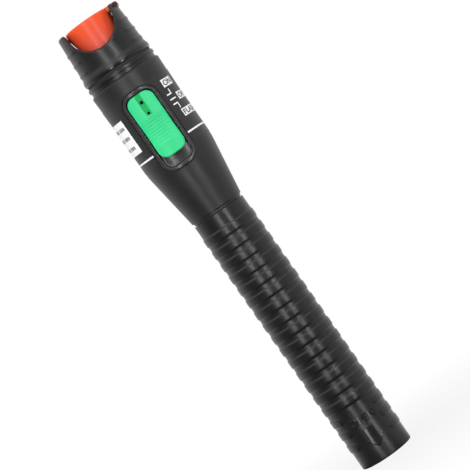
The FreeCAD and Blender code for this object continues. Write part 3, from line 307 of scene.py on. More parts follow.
    @staticmethod
    def lettering(
        name: str, text: str, width: float, height: float, z: float, depth: float, lift: float
    ) -> Piece:
        """Flat letters that face -Y, centred on X = 0.

        Args:
            name: The piece's name.
            text: The word.
            width: Its width.
            height: Its height.
            z: Height of its middle.
            depth: Thickness of the letters.
            lift: How far their back stands out.

        Returns:
            The letters as a mesh.
        """
        Bench.clear()
        bpy.ops.object.text_add(rotation=(math.pi / 2, 0, 0))
        word = bpy.context.object.data
        word.body = text
        word.align_x = "CENTER"
        word.extrude = 0.5
        word.offset = Bench.letter_boldness
        word.resolution_u = Bench.letter_cuts
        bpy.ops.object.convert(target="MESH")
        piece = Bench.seat(name)
        points = [point.co.copy() for point in piece.data.vertices]
        low = [min(p[i] for p in points) for i in range(3)]
        high = [max(p[i] for p in points) for i in range(3)]
        for point in piece.data.vertices:
            x, y, up = ((point.co[i] - low[i]) / (high[i] - low[i]) for i in range(3))
            point.co = Vector(((x - 0.5) * width, -depth * (1 - y), z + (up - 0.5) * height)) * MM
        Bench.close(piece)
        for point in piece.data.vertices:
            point.co.y -= lift * MM
        return piece


def arc(centre: tuple[float, float], radius: float, start: float, end: float, cuts: int) -> Outline:
    """Points along an arc of an outline.

    Args:
        centre: Centre (radius, height).
        radius: Radius of the arc.
        start: First angle in degrees, 0 outwards and 90 up.
        end: Last angle.
        cuts: Steps between them.

    Returns:
        The points, both ends included.
    """
    turns = [math.radians(start + (end - start) * i / cuts) for i in range(cuts + 1)]
    return [(centre[0] + radius * math.cos(t), centre[1] + radius * math.sin(t)) for t in turns]


def eased(share: float) -> float:
    """Share from 0 to 1 with a soft start and a soft end."""
    return share * share * (3 - 2 * share)


def within(value: float) -> float:
    """Value held between 0 and 1."""
    return min(1.0, max(0.0, value))


def spun(radius: float, turn: float, height: float) -> Point:
    """Point for a radius, an angle from the front towards +X and a height."""
    return radius * math.sin(turn), -radius * math.cos(turn), height


def paint(piece: Piece, *materials: Material) -> None:
    """Give a piece its materials."""
    for material in materials:
        piece.data.materials.append(material)


def place(piece: Piece, body: Body, slot: str, *nodes: str) -> None:
    """Tie a finished piece to its body and hide the CAD nodes that it stands for.

    Args:
        piece: The finished piece.
        body: The body that it rides on.
        slot: Not used.
        nodes: CAD nodes that it replaces.
    """
    if nodes:
        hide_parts(*nodes)
    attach(piece, body.value)
    log.info("piece %s rides on %s with %d faces", piece.name, body.value, len(piece.data.polygons))


# ---- shader nodes -------------------------------------------------------------------------


def node(tree: Tree, kind: str, links: dict[str | int, object], **settings: object) -> Node:
    """Add a shader node, set it and link or fill its inputs.

    Args:
        tree: The tree that it goes in.
        kind: Its type.
        links: Input name or number to an output socket or a value.
        settings: The node's own settings.

    Returns:
        The node.
    """
    made = tree.nodes.new(f"ShaderNode{kind}")
    for key, value in settings.items():
        setattr(made, key, value)
    for key, value in links.items():
        if isinstance(value, Socket):
            tree.links.new(value, made.inputs[key])
        else:
            made.inputs[key].default_value = value
    return made


def maths(tree: Tree, operation: str, *values: object) -> Socket:
    """Work out one result from up to three sockets or numbers.

    Args:
        tree: The tree that the node goes in.
        operation: What is done with them.
        values: The sockets or numbers, in order.

    Returns:
        The result.
    """
    return node(tree, "Math", dict(enumerate(values)), operation=operation).outputs[0]


def ranged(
    tree: Tree, value: Socket, start: float, end: float, low: float = 0.0, high: float = 1.0
) -> Socket:
    """Turn one range of a value into another, held at its ends.

    Args:
        tree: The tree that the node goes in.
        value: The value.
        start: Value that gives low.
        end: Value that gives high.
        low: Result at the start.
        high: Result at the end.

    Returns:
        The result.
    """
    links = {"Value": value, "From Min": start, "From Max": end, "To Min": low, "To Max": high}
    return node(tree, "MapRange", links).outputs[0]


def shared_group(name: str, inputs: dict[str, float], outputs: Sequence[str]) -> tuple[Tree, Node, Node]:
    """Start a shader node group that takes a place as Vector.

    Args:
        name: The group's name.
        inputs: Number inputs and their starting values.
        outputs: Number outputs.

    Returns:
        The group, its input node and its output node.
    """
    tree = bpy.data.node_groups.new(name, "ShaderNodeTree")
    tree.interface.new_socket("Vector", in_out="INPUT", socket_type="NodeSocketVector")
    for label, value in inputs.items():
        socket = tree.interface.new_socket(label, in_out="INPUT", socket_type="NodeSocketFloat")
        socket.default_value = value
    for label in outputs:
        tree.interface.new_socket(label, in_out="OUTPUT", socket_type="NodeSocketFloat")
    return tree, tree.nodes.new("NodeGroupInput"), tree.nodes.new("NodeGroupOutput")


def grain_group() -> Tree:
    """Fine moulded grain with soft larger blotches.

    Returns:
        Group with outputs Height, Shade (a factor about 1) and Gloss (a roughness).
    """
    inputs = {
        "Grain Scale": 3500.0, "Blotch Scale": 120.0, "Blotch": 0.15,
        "Roughness": 0.4, "Roughness Spread": 0.1,
    }
    tree, enter, leave = shared_group("moulded_grain", inputs, ("Height", "Shade", "Gloss"))
    given = enter.outputs
    place_at = given["Vector"]
    fine = node(tree, "TexNoise", {"Vector": place_at, "Scale": given["Grain Scale"], "Detail": 3.0})
    blotch = node(tree, "TexNoise", {"Vector": place_at, "Scale": given["Blotch Scale"], "Detail": 4.0})
    centred = maths(tree, "SUBTRACT", blotch.outputs["Fac"], 0.5)
    tree.links.new(fine.outputs["Fac"], leave.inputs["Height"])
    shade = maths(tree, "MULTIPLY_ADD", centred, given["Blotch"], 1.0)
    tree.links.new(shade, leave.inputs["Shade"])
    gloss = maths(tree, "MULTIPLY_ADD", centred, given["Roughness Spread"], given["Roughness"])
    tree.links.new(gloss, leave.inputs["Gloss"])
    return tree


def scuff_group() -> Tree:
    """Hairline scuffs from handling.

    Returns:
        Group with the output Scuff, a mask from 0 to 1.
    """
    tree, enter, leave = shared_group("handling_scuffs", {"Scale": 260.0, "Amount": 0.3}, ("Scuff",))
    lie = {"Vector": enter.outputs["Vector"], "Rotation": (0.5, 0.3, 0.7), "Scale": (1.0, 14.0, 3.0)}
    stretched = node(tree, "Mapping", lie).outputs[0]
    hair = node(tree, "TexNoise", {"Vector": stretched, "Scale": enter.outputs["Scale"], "Detail": 2.0})
    thin = ranged(tree, hair.outputs["Fac"], 0.66, 0.8)
    scuff = maths(tree, "MULTIPLY", thin, enter.outputs["Amount"])
    tree.links.new(scuff, leave.inputs["Scuff"])
    return tree


GRAIN = grain_group()
SCUFFS = scuff_group()


# ---- finishes -----------------------------------------------------------------------------


class Finish:
    """A material's tree under construction, with its Principled shader in place."""

    def __init__(self, name: str) -> None:
        """Start a material.

        Args:
            name: The material's name.
        """
        self.material = bpy.data.materials.new(name)
        self.material.use_nodes = True
        self.tree = self.material.node_tree
        self.shader = self.tree.nodes["Principled BSDF"]
        self.spot = self.tree.nodes.new("ShaderNodeTexCoord").outputs["Object"]

    def add(self, kind: str, links: dict[str | int, object], **settings: object) -> Node:
        """Add a node to this material's tree."""
        return node(self.tree, kind, links, **settings)

    def group(self, tree: Tree, **values: float) -> Node:
        """Place a shared group in this material.

        Args:
            tree: The group.
            values: Its inputs, spaces written as underscores.

        Returns:
            The group node.
        """
        named = {key.replace("_", " "): value for key, value in values.items()}
        return self.add("Group", {"Vector": self.spot, **named}, node_tree=tree)

    def tinted(self, colour: Colour | Socket, factor: Socket) -> Socket:
        """Multiply a colour by a factor that changes over the surface."""
        return self.add("VectorMath", {0: colour, "Scale": factor}, operation="SCALE").outputs[0]

    def mixed(self, factor: Socket, low: Colour | Socket, high: Colour | Socket) -> Socket:
        """Mix two colours by a mask.

        Args:
            factor: The mask.
            low: Colour where the mask is 0.
            high: Colour where it is 1.

        Returns:
            The mixed colour.
        """
        low, high = (value if isinstance(value, Socket) else (*value, 1.0) for value in (low, high))
        return self.add("Mix", {0: factor, 6: low, 7: high}, data_type="RGBA").outputs[2]

    def grained(self, colour: Colour | Socket, **values: float) -> Node:
        """Let the moulded grain vary the colour and the roughness.

        Args:
            colour: The colour.
            values: Inputs of the grain group.

        Returns:
            The grain.
        """
        grain = self.group(GRAIN, **values)
        self.link("Base Color", self.tinted(colour, grain.outputs["Shade"]))
        self.link("Roughness", grain.outputs["Gloss"])
        return grain

    def bump(self, height: Socket, distance: float, soften: float = 0.0) -> None:
        """Feed a height to the shader's normal.

        Args:
            height: The height.
            distance: Its depth in millimetres.
            soften: Radius of rounded edges in millimetres, or 0 for none.
        """
        bump = self.add("Bump", {"Height": height, "Distance": distance * MM, "Strength": 1.0})
        if soften:
            edge = self.add("Bevel", {"Radius": soften * MM}, samples=6)
            self.tree.links.new(edge.outputs[0], bump.inputs["Normal"])
        self.link("Normal", bump.outputs[0])

    def link(self, socket: str, value: Socket) -> None:
        """Link a socket of the shader."""
        self.tree.links.new(value, self.shader.inputs[socket])

    def fix(self, **values: object) -> None:
        """Set constants on the shader's own sockets, spaces written as underscores."""
        for key, value in values.items():
            self.shader.inputs[key.replace("_", " ")].default_value = value


@dataclass(frozen=True)
class Moulding:
    """Moulded plastic: fine grain, faint blotches and a few hairline scuffs."""

    name: str
    colour: Colour
    roughness: float
    grain_depth: float = 0.004
    grain_scale: float = 3500.0
    blotch: float = 0.25
    spread: float = 0.14
    scuffs: float = 0.25
    specular: float = 0.5
    subsurface: float = 0.0
    soften: float = 0.0
    scuff_gain: float = 1.4
    scuff_lift: float = 0.03

    def make(self) -> Material:
        """Build the material.

        Returns:
            The material.
        """
        finish = Finish(self.name)
        grain = finish.group(
            GRAIN, Grain_Scale=self.grain_scale, Blotch=self.blotch,
            Roughness=self.roughness, Roughness_Spread=self.spread,
        )
        marks = finish.group(SCUFFS, Amount=self.scuffs)
        plain = finish.tinted(self.colour, grain.outputs["Shade"])
        pale = tuple(min(1.0, part * self.scuff_gain + self.scuff_lift) for part in self.colour)
        finish.link("Base Color", finish.mixed(marks.outputs["Scuff"], plain, pale))
        finish.link("Roughness", grain.outputs["Gloss"])
        finish.fix(Specular_IOR_Level=self.specular, Subsurface_Weight=self.subsurface)
        if self.subsurface:
            finish.fix(Subsurface_Scale=0.0015, Subsurface_Radius=(1.0, 0.5, 0.3))
        finish.bump(grain.outputs["Height"], self.grain_depth, self.soften)
        return finish.material


@dataclass(frozen=True)
class CapWithPaintedTopLight:
    """Translucent red moulding, its colour mixed by height from a deeper red below to a brighter orange-red
    at its top: painted light where light comes through the top.
    """

    name: str
    # upper is the brighter top colour, painted light; lower is the deeper red below it.
    upper: Colour
    lower: Colour
    low: float
    high: float

    def make(self) -> Material:
        """Build the material.

        Returns:
            The material.
        """
        finish = Finish(self.name)
        along = finish.add("SeparateXYZ", {0: finish.spot})
        # Painted light: the red brightens with height towards the top, standing in for light that comes
        # through the cap.
        height = ranged(finish.tree, along.outputs["Z"], self.low, self.high)
        painted_light_hue = finish.mixed(height, self.lower, self.upper)
        grain = finish.grained(painted_light_hue, Grain_Scale=2600.0, Blotch=0.06, Roughness=0.34, Roughness_Spread=0.08)
        finish.fix(Specular_IOR_Level=0.35, Subsurface_Weight=0.12, Subsurface_Scale=0.0015)
        finish.bump(grain.outputs["Height"], 0.001, 0.2)
        return finish.material


@dataclass(frozen=True)
class TurnedMetal:
    """Metal with fine tool marks round the pen's axis."""

    name: str
    colour: Colour
    roughness: float
    metallic: float = 1.0
    marks_scale: float = 6000.0
    marks_depth: float = 0.002

    def make(self) -> Material:
        """Build the material.

        Returns:
            The material.
        """
        finish = Finish(self.name)
        rings = finish.add("Mapping", {"Vector": finish.spot, "Scale": (0.02, 0.02, 1.0)}).outputs[0]
        marks = finish.add("TexNoise", {"Vector": rings, "Scale": self.marks_scale, "Detail": 3.0})
        finish.grained(self.colour, Roughness=self.roughness, Roughness_Spread=0.18, Blotch=0.2)
        finish.fix(Metallic=self.metallic)
        finish.bump(marks.outputs["Fac"], self.marks_depth)
        return finish.material


@dataclass(frozen=True)
class Paper:
    """Coated label stock."""

    name: str
    colour: Colour

    def make(self) -> Material:
        """Build the material.

        Returns:
            The material.
        """
        finish = Finish(self.name)
        grain = finish.grained(
            self.colour, Grain_Scale=5200.0, Blotch=0.05, Roughness=0.5, Roughness_Spread=0.1
        )
        finish.bump(grain.outputs["Height"], 0.002)
        return finish.material


@dataclass(frozen=True)
class SolderMask:
    """Board lacquer over copper tracks."""

    name: str
    colour: Colour
    track: Colour

    def make(self) -> Material:
        """Build the material.

        Returns:
            The material.
        """
        finish = Finish(self.name)
        lacquer, track = (*self.colour, 1.0), (*self.track, 1.0)
        grid = finish.add("TexBrick", {
            "Vector": finish.spot, "Scale": 260.0, "Color1": lacquer, "Color2": lacquer,
            "Mortar": track, "Mortar Size": 0.05,
        })
        finish.grained(grid.outputs["Color"], Roughness=0.28, Blotch=0.2)
        finish.fix(Coat_Weight=0.4)
        finish.bump(grid.outputs["Fac"], 0.02)
        return finish.material


@dataclass(frozen=True)
class Optic:
    """Polished glass with a faint haze."""

    name: str
    colour: Colour

    def make(self) -> Material:
        """Build the material.

        Returns:
            The material.
        """
        finish = Finish(self.name)
        finish.grained(self.colour, Roughness=0.03, Roughness_Spread=0.03, Blotch=0.02)
        finish.fix(Transmission_Weight=1.0, IOR=1.5)
        return finish.material


@dataclass(frozen=True)
class CellWrap:
    """Printed shrink wrap of a cell, with a bright band near the positive end."""

    name: str
    colour: Colour
    band: Colour
    foot: float
    pitch: float
    band_from: float = 0.72

    def make(self) -> Material:
        """Build the material.

        Returns:
            The material.
        """
        finish = Finish(self.name)
        along = finish.add("SeparateXYZ", {0: finish.spot}).outputs["Z"]
        lifted = maths(finish.tree, "SUBTRACT", along, self.foot)
        share = maths(finish.tree, "FRACT", maths(finish.tree, "DIVIDE", lifted, self.pitch))
        over = maths(finish.tree, "GREATER_THAN", share, self.band_from)
        grain = finish.group(GRAIN, Roughness=0.25, Blotch=0.1, Grain_Scale=900.0)
        plain = finish.tinted(self.colour, grain.outputs["Shade"])
        finish.link("Base Color", finish.mixed(over, plain, self.band))
        finish.link("Roughness", grain.outputs["Gloss"])
        finish.fix(Coat_Weight=0.5)
        finish.bump(grain.outputs["Height"], 0.003)
        return finish.material


# ---- studio -------------------------------------------------------------------------------


# How pale the surroundings are in a gloss, by direction: axis, from, to, level there, level here.
SURROUNDINGS = (("Y", -0.35, 0.5, 0.03, 0.95), ("X", 0.6, 0.98, 0.0, 0.6), ("Z", 0.15, 0.65, 0.0, 0.9))
STREAK_LEFT = -15.5
STREAK_RIGHT = 24.5


def surround_level(tree: Tree, heading: Socket) -> Socket:
    """Level of the surroundings: dark at the front, pale at the right, above and behind.

    Args:
        tree: Tree that the nodes go in.
        heading: Direction from the pen.

    Returns:
        The level.
    """
    split = node(tree, "SeparateXYZ", {0: heading}).outputs
    level = 0.0
    for axis, *span in SURROUNDINGS:
        level = maths(tree, "MAXIMUM", ranged(tree, split[axis], *span), level)
    return level


def stand(thing: Piece, across: Vector, rise: Vector, back: Vector, place_at: Vector) -> None:
    """Stand a camera or a lamp in the scene by its own axes.

    Args:
        thing: The camera or lamp.
        across: Direction of its X.
        rise: Direction of its Y.
        back: Direction of its Z, away from what it faces.
        place_at: Where it stands.
    """
    matrix = Matrix((across, rise, back)).transposed().to_4x4()
    matrix.translation = place_at
    thing.matrix_world = matrix
    bpy.context.scene.collection.objects.link(thing)


@dataclass
class Strip:
    """A soft lamp that faces the pen, or a little above it where it is tilted."""

    name: str
    azimuth: float
    distance: float
    width: float
    height: float
    middle: float
    power: float
    gleams: bool = True
    spread: float = 180.0
    tilt: float = 0.0


@dataclass
class Studio:
    """Camera, pale floor, white surroundings and soft lamps, in metres and degrees."""

    distance: float = 0.79
    azimuth: float = 1.46
    eye: float = 0.1084
    aim: float = 0.0887
    roll: float = 34.9
    lens: float = 182.0
    world_light: float = 0.45
    floor_radius: float = 4.0
    floor_colour: Colour = (0.25, 0.25, 0.25)
    # Glow of the floor as it is seen, by distance from the tail: from, to, share there, beyond.
    floor_glow: tuple[float, ...] = (0.02, 0.12, 0.88, 1.0)
    strips: tuple[Strip, ...] = (
        Strip("strip_left", STREAK_LEFT, 0.9, 0.045, 0.9, 0.5, 2.8),
        Strip("strip_right", STREAK_RIGHT, 0.9, 0.045, 0.9, 0.5, 2.8),
        Strip("panel_right", 90.0, 1.1, 0.8, 1.6, 0.85, 7.5, False),
        Strip("panel_left", -90.0, 1.1, 0.8, 1.6, 0.85, 11.0, False),
        Strip("panel_front", -8.0, 1.6, 1.2, 1.6, 0.85, 5.4, False),
        Strip("panel_back", 180.0, 1.2, 1.2, 1.6, 0.85, 8.0, False),
    )
    # Small lamps on the floor: distance, width, height, tilt, watts for a square metre.
    slats: tuple[tuple[float, ...], ...] = (
        (0.04, 0.0056, 0.012, 0.0, 0.56),
        (0.11, 0.015, 0.02, 0.0, 0.56),
        (0.33, 0.046, 0.07, 0.0, 0.56),
        (0.34, 0.056, 0.07, 17.0, 0.95),
    )
    slat_spread: float = 30.0

    def build(self) -> None:
        """Set up the camera, the floor, the world and the lamps."""
        self.camera()
        self.floor()
        self.world()
        for strip in self.strips:
            self.lamp(strip)
        for azimuth in (STREAK_LEFT, STREAK_RIGHT):
            for i, (distance, width, height, tilt, level) in enumerate(self.slats):
                self.lamp(Strip(
                    f"slat_{i}_{azimuth:.0f}", azimuth, distance, width, height, height / 2,
                    level * width * height, spread=self.slat_spread, tilt=tilt,
                ))
        bpy.context.scene.view_settings.view_transform = "Standard"

    def camera(self) -> None:
        """Long lens, a little above the middle, rolled so that the head leans to the left."""
        turn = math.radians(self.azimuth)
        eye = Vector((self.distance * math.sin(turn), -self.distance * math.cos(turn), self.eye))
        ahead = (Vector((0, 0, self.aim)) - eye).normalized()
        right = ahead.cross(Vector((0, 0, 1))).normalized()
        above = right.cross(ahead)
        tilt = math.radians(self.roll)
        across = right * math.cos(tilt) - above * math.sin(tilt)
        rise = right * math.sin(tilt) + above * math.cos(tilt)
        lens = bpy.data.cameras.new("camera")
        lens.lens = self.lens
        lens.clip_start = 0.01
        camera = bpy.data.objects.new("camera", lens)
        stand(camera, across, rise, -ahead, eye)
        bpy.context.scene.camera = camera

    def floor(self) -> None:
        """Plain pale floor that keeps the pen's shadow."""
        Bench.clear()
        bpy.ops.mesh.primitive_circle_add(vertices=96, radius=self.floor_radius, fill_type="NGON")
        floor = Bench.seat("floor")
        finish = Finish("pale_floor")
        tree = finish.tree
        grain = finish.group(GRAIN, Blotch=0.02, Roughness=0.8, Blotch_Scale=3.0)
        finish.link("Base Color", finish.tinted(self.floor_colour, grain.outputs["Shade"]))
        finish.fix(Specular_IOR_Level=0.0, Roughness=0.9)
        path = finish.add("LightPath", {}).outputs
        heading = finish.add("VectorMath", {0: finish.spot}, operation="NORMALIZE").outputs[0]
        mirrored = maths(tree, "MULTIPLY", path["Is Glossy Ray"], surround_level(tree, heading))
        strength = maths(tree, "MAXIMUM", path["Is Camera Ray"], mirrored)
        glow = finish.add("Emission", {"Color": (1, 1, 1, 1), "Strength": strength})
        away = finish.add("VectorMath", {0: finish.spot}, operation="LENGTH").outputs["Value"]
        glowing = ranged(tree, away, *self.floor_glow)
        seen = maths(tree, "MULTIPLY", path["Is Camera Ray"], glowing)
        share = maths(tree, "MAXIMUM", seen, path["Is Glossy Ray"])
        mix = finish.add("MixShader", {0: share, 1: finish.shader.outputs[0], 2: glow.outputs[0]})
        tree.links.new(mix.outputs[0], tree.nodes["Material Output"].inputs["Surface"])
        paint(floor, finish.material)

    def world(self) -> None:
        """White where it is seen directly or in a gloss behind the pen, dimmer as light."""
        world = bpy.data.worlds.new("surroundings")
        bpy.context.scene.world = world
        world.use_nodes = True
        tree = world.node_tree
        background = tree.nodes["Background"]
        background.inputs["Color"].default_value = (1, 1, 1, 1)
        path = node(tree, "LightPath", {}).outputs
        heading = node(tree, "TexCoord", {}).outputs["Generated"]
        seen = maths(tree, "MAXIMUM", path["Is Camera Ray"], path["Is Transmission Ray"])
        gloss = maths(tree, "MULTIPLY", path["Is Glossy Ray"], surround_level(tree, heading))
        bright = maths(tree, "MAXIMUM", seen, gloss)
        light = maths(tree, "SUBTRACT", 1.0, maths(tree, "MAXIMUM", seen, path["Is Glossy Ray"]))
        total = maths(tree, "MULTIPLY_ADD", light, self.world_light, bright)
        tree.links.new(total, background.inputs["Strength"])

    def lamp(self, strip: Strip) -> None:
        """Add one lamp.

        Args:
            strip: Its place, size and power.
        """
        data = bpy.data.lights.new(strip.name, "AREA")
        data.shape = "RECTANGLE"
        data.size = strip.width
        data.size_y = strip.height
        data.energy = strip.power
        data.spread = math.radians(strip.spread)
        place_at = Vector(spun(strip.distance, math.radians(strip.azimuth), strip.middle))
        outward = Vector((place_at.x, place_at.y, 0)).normalized()
        across = Vector((0, 0, 1)).cross(outward)
        tilt = math.radians(strip.tilt)
        back = outward * math.cos(tilt) - Vector((0, 0, math.sin(tilt)))
        lamp = bpy.data.objects.new(strip.name, data)
        lamp.visible_glossy = strip.gleams
        lamp.visible_camera = False
        stand(lamp, across, back.cross(across), back, place_at)


# ---- grip sleeve ----------------------------------------------------------------------------


@dataclass
class GripSleeve:
    """Ribbed sleeve, closed at the tail, with a thumb patch, an arrow and a word in relief."""

    radius: float = 9.6
    bore: float = 8.55
    mouth_bore: float = 8.9
    mouth_depth: float = 8.75
    mouth_round: float = 0.15
    mouth_chamfer: float = 0.1
    tail_round: float = 0.45
    tail_face: float = 6.6
    floor: float = 1.4
    first_rib: float = 7.0
    last_rib: float = 6.0
    pitch: float = 4.905
    rib_height: float = 0.32
    rib_below: float = 1.55
    rib_above: float = 2.2
    rib_lead: float = 0.12
    flank: float = 0.8
    patch_top: float = 20.6
    patch_half: float = 5.9
    patch_bulge: float = 1.3
    patch_taper: float = 0.7
    relief: float = 0.3
    sunk: float = 0.1
    word_height: float = 15.3
    word_size: tuple[float, float] = (9.6, 2.7)
    arrow_corners: tuple[tuple[float, float], ...] = (
        (-1.95, 12.1), (-1.95, 7.85), (-3.45, 7.85), (0.0, 4.65), (3.45, 7.85), (1.65, 7.85), (1.65, 12.1),
    )
    arrow_root: float = 0.15
    arrow_edge: float = 0.1
    arrow_chamfer: float = 0.14
    steps: int = 150

    def build(self, finishes: Finishes) -> None:
        """Turn the sleeve, clear its thumb patch, add the reliefs and dress it.

        Args:
            finishes: Every finish by name.
        """
        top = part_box("grip_sleeve")[1].z / MM
        sleeve = Bench.turned("grip_sleeve_ribbed", self.outline(top), self.steps)
        self.clear_patch(sleeve, top)
        reliefs = [self.arrow(), self.word()]
        paint(sleeve, finishes["shell_black"])
        for relief in reliefs:
            paint(relief, finishes["shell_polished"])
        piece = Bench.joined("grip_sleeve_ribbed", sleeve, *reliefs)
        Bench.smooth(piece, 40.0)
        place(piece, Body.GRIP, "shell_black", "grip_sleeve")

    def ribs(self, top: float) -> list[float]:
        """Heights of the ribs, from the tail up.

        Args:
            top: Height of the mouth.

        Returns:
            The heights.
        """
        first = top - self.first_rib
        count = int((first - self.last_rib) / self.pitch) + 1
        return [first - self.pitch * i for i in reversed(range(count))]

    def outline(self, top: float) -> Outline:
        """Section from the tail's middle up the ribs, over the mouth and down the bore.

        Args:
            top: Height of the mouth.

        Returns:
            Points (radius, height).
        """
        points = [(0.0, 0.0), (self.tail_face, 0.0)]
        points += arc((self.radius - self.tail_round, self.tail_round), self.tail_round, -90, 0, 6)
        points.append((self.radius, self.tail_round + 0.15))
        crest = self.rib_below + self.rib_above - 2 * self.flank
        for middle in self.ribs(top):
            low, high = middle - self.rib_below, middle + self.rib_above
            points.append((self.radius, low - self.rib_lead))
            for share in (i / 7 for i in range(8)):
                points.append((self.radius + self.rib_height * eased(share), low + self.flank * share))
            for i in range(1, 4):
                points.append((self.radius + self.rib_height, low + self.flank + crest * i / 4))
            for share in (1 - i / 9 for i in range(10)):
                points.append((self.radius + self.rib_height * eased(share), high - self.flank * share))
            points.append((self.radius, high + self.rib_lead))
        points.append((self.radius, top - self.mouth_round - self.rib_lead))
        points += arc((self.radius - self.mouth_round, top - self.mouth_round), self.mouth_round, 0, 90, 4)
        points += [(self.mouth_bore + self.mouth_chamfer, top), (self.mouth_bore, top - self.mouth_chamfer)]
        points += [(self.mouth_bore, top - self.mouth_depth), (self.bore, top - self.mouth_depth)]
        points += [(self.bore, self.floor), (0.0, self.floor)]
        return points

    def clear_patch(self, sleeve: Piece, top: float) -> None:
        """Take the ribs off the thumb patch, with rounded rib ends beside it.

        Args:
            sleeve: The turned sleeve.
            top: Height of its mouth.
        """
        shift, half = (self.rib_above - self.rib_below) / 2, (self.rib_above + self.rib_below) / 2
        middles = [z + shift for z in self.ribs(top) if z < self.patch_top]
        for point in sleeve.data.vertices:
            x, y, z = (value / MM for value in point.co)
            reach = math.hypot(x, y)
            offset = min((z - middle for middle in middles), key=abs)
            if y > 0 or reach <= self.radius + 0.001 or abs(offset) > half:
                continue
            side = self.patch_half + self.patch_bulge * (offset / half) ** 2
            share = eased(within((abs(x) - side) / self.patch_taper))
            scale = (self.radius + (reach - self.radius) * share) / reach
            point.co = Vector((x * scale, y * scale, z)) * MM

    def arrow(self) -> Piece:
        """Arrow towards the tail, raised from the patch, with a narrow chamfer.

        Returns:
            The arrow, bent round the sleeve.
        """
        Bench.clear()
        bpy.ops.mesh.primitive_circle_add(vertices=len(self.arrow_corners), radius=MM, fill_type="NGON")
        piece = Bench.seat("sleeve_arrow")
        for point, (x, z) in zip(piece.data.vertices, self.arrow_corners):
            point.co = Vector((x, self.arrow_root, z)) * MM
        Bench.open(piece)
        rise = -(self.arrow_root + self.arrow_edge) * MM
        bpy.ops.mesh.extrude_region_move(TRANSFORM_OT_translate={"value": (0, rise, 0)})
        bpy.ops.mesh.inset(thickness=self.arrow_chamfer * MM)
        bpy.ops.transform.translate(value=(0, (self.arrow_edge - self.relief) * MM, 0))
        Bench.close(piece)
        Bench.wrapped(piece, 0.5, lambda height: self.radius)
        return piece

    def word(self) -> Piece:
        """Raised word above the arrow.

        Returns:
            The word, bent round the sleeve.
        """
        depth = self.relief + self.sunk
        piece = Bench.lettering("sleeve_word", "OPEN", *self.word_size, self.word_height, depth, -self.sunk)
        Bench.wrapped(piece, 0.4, lambda height: self.radius)
        return piece


# ---- head -----------------------------------------------------------------------------------


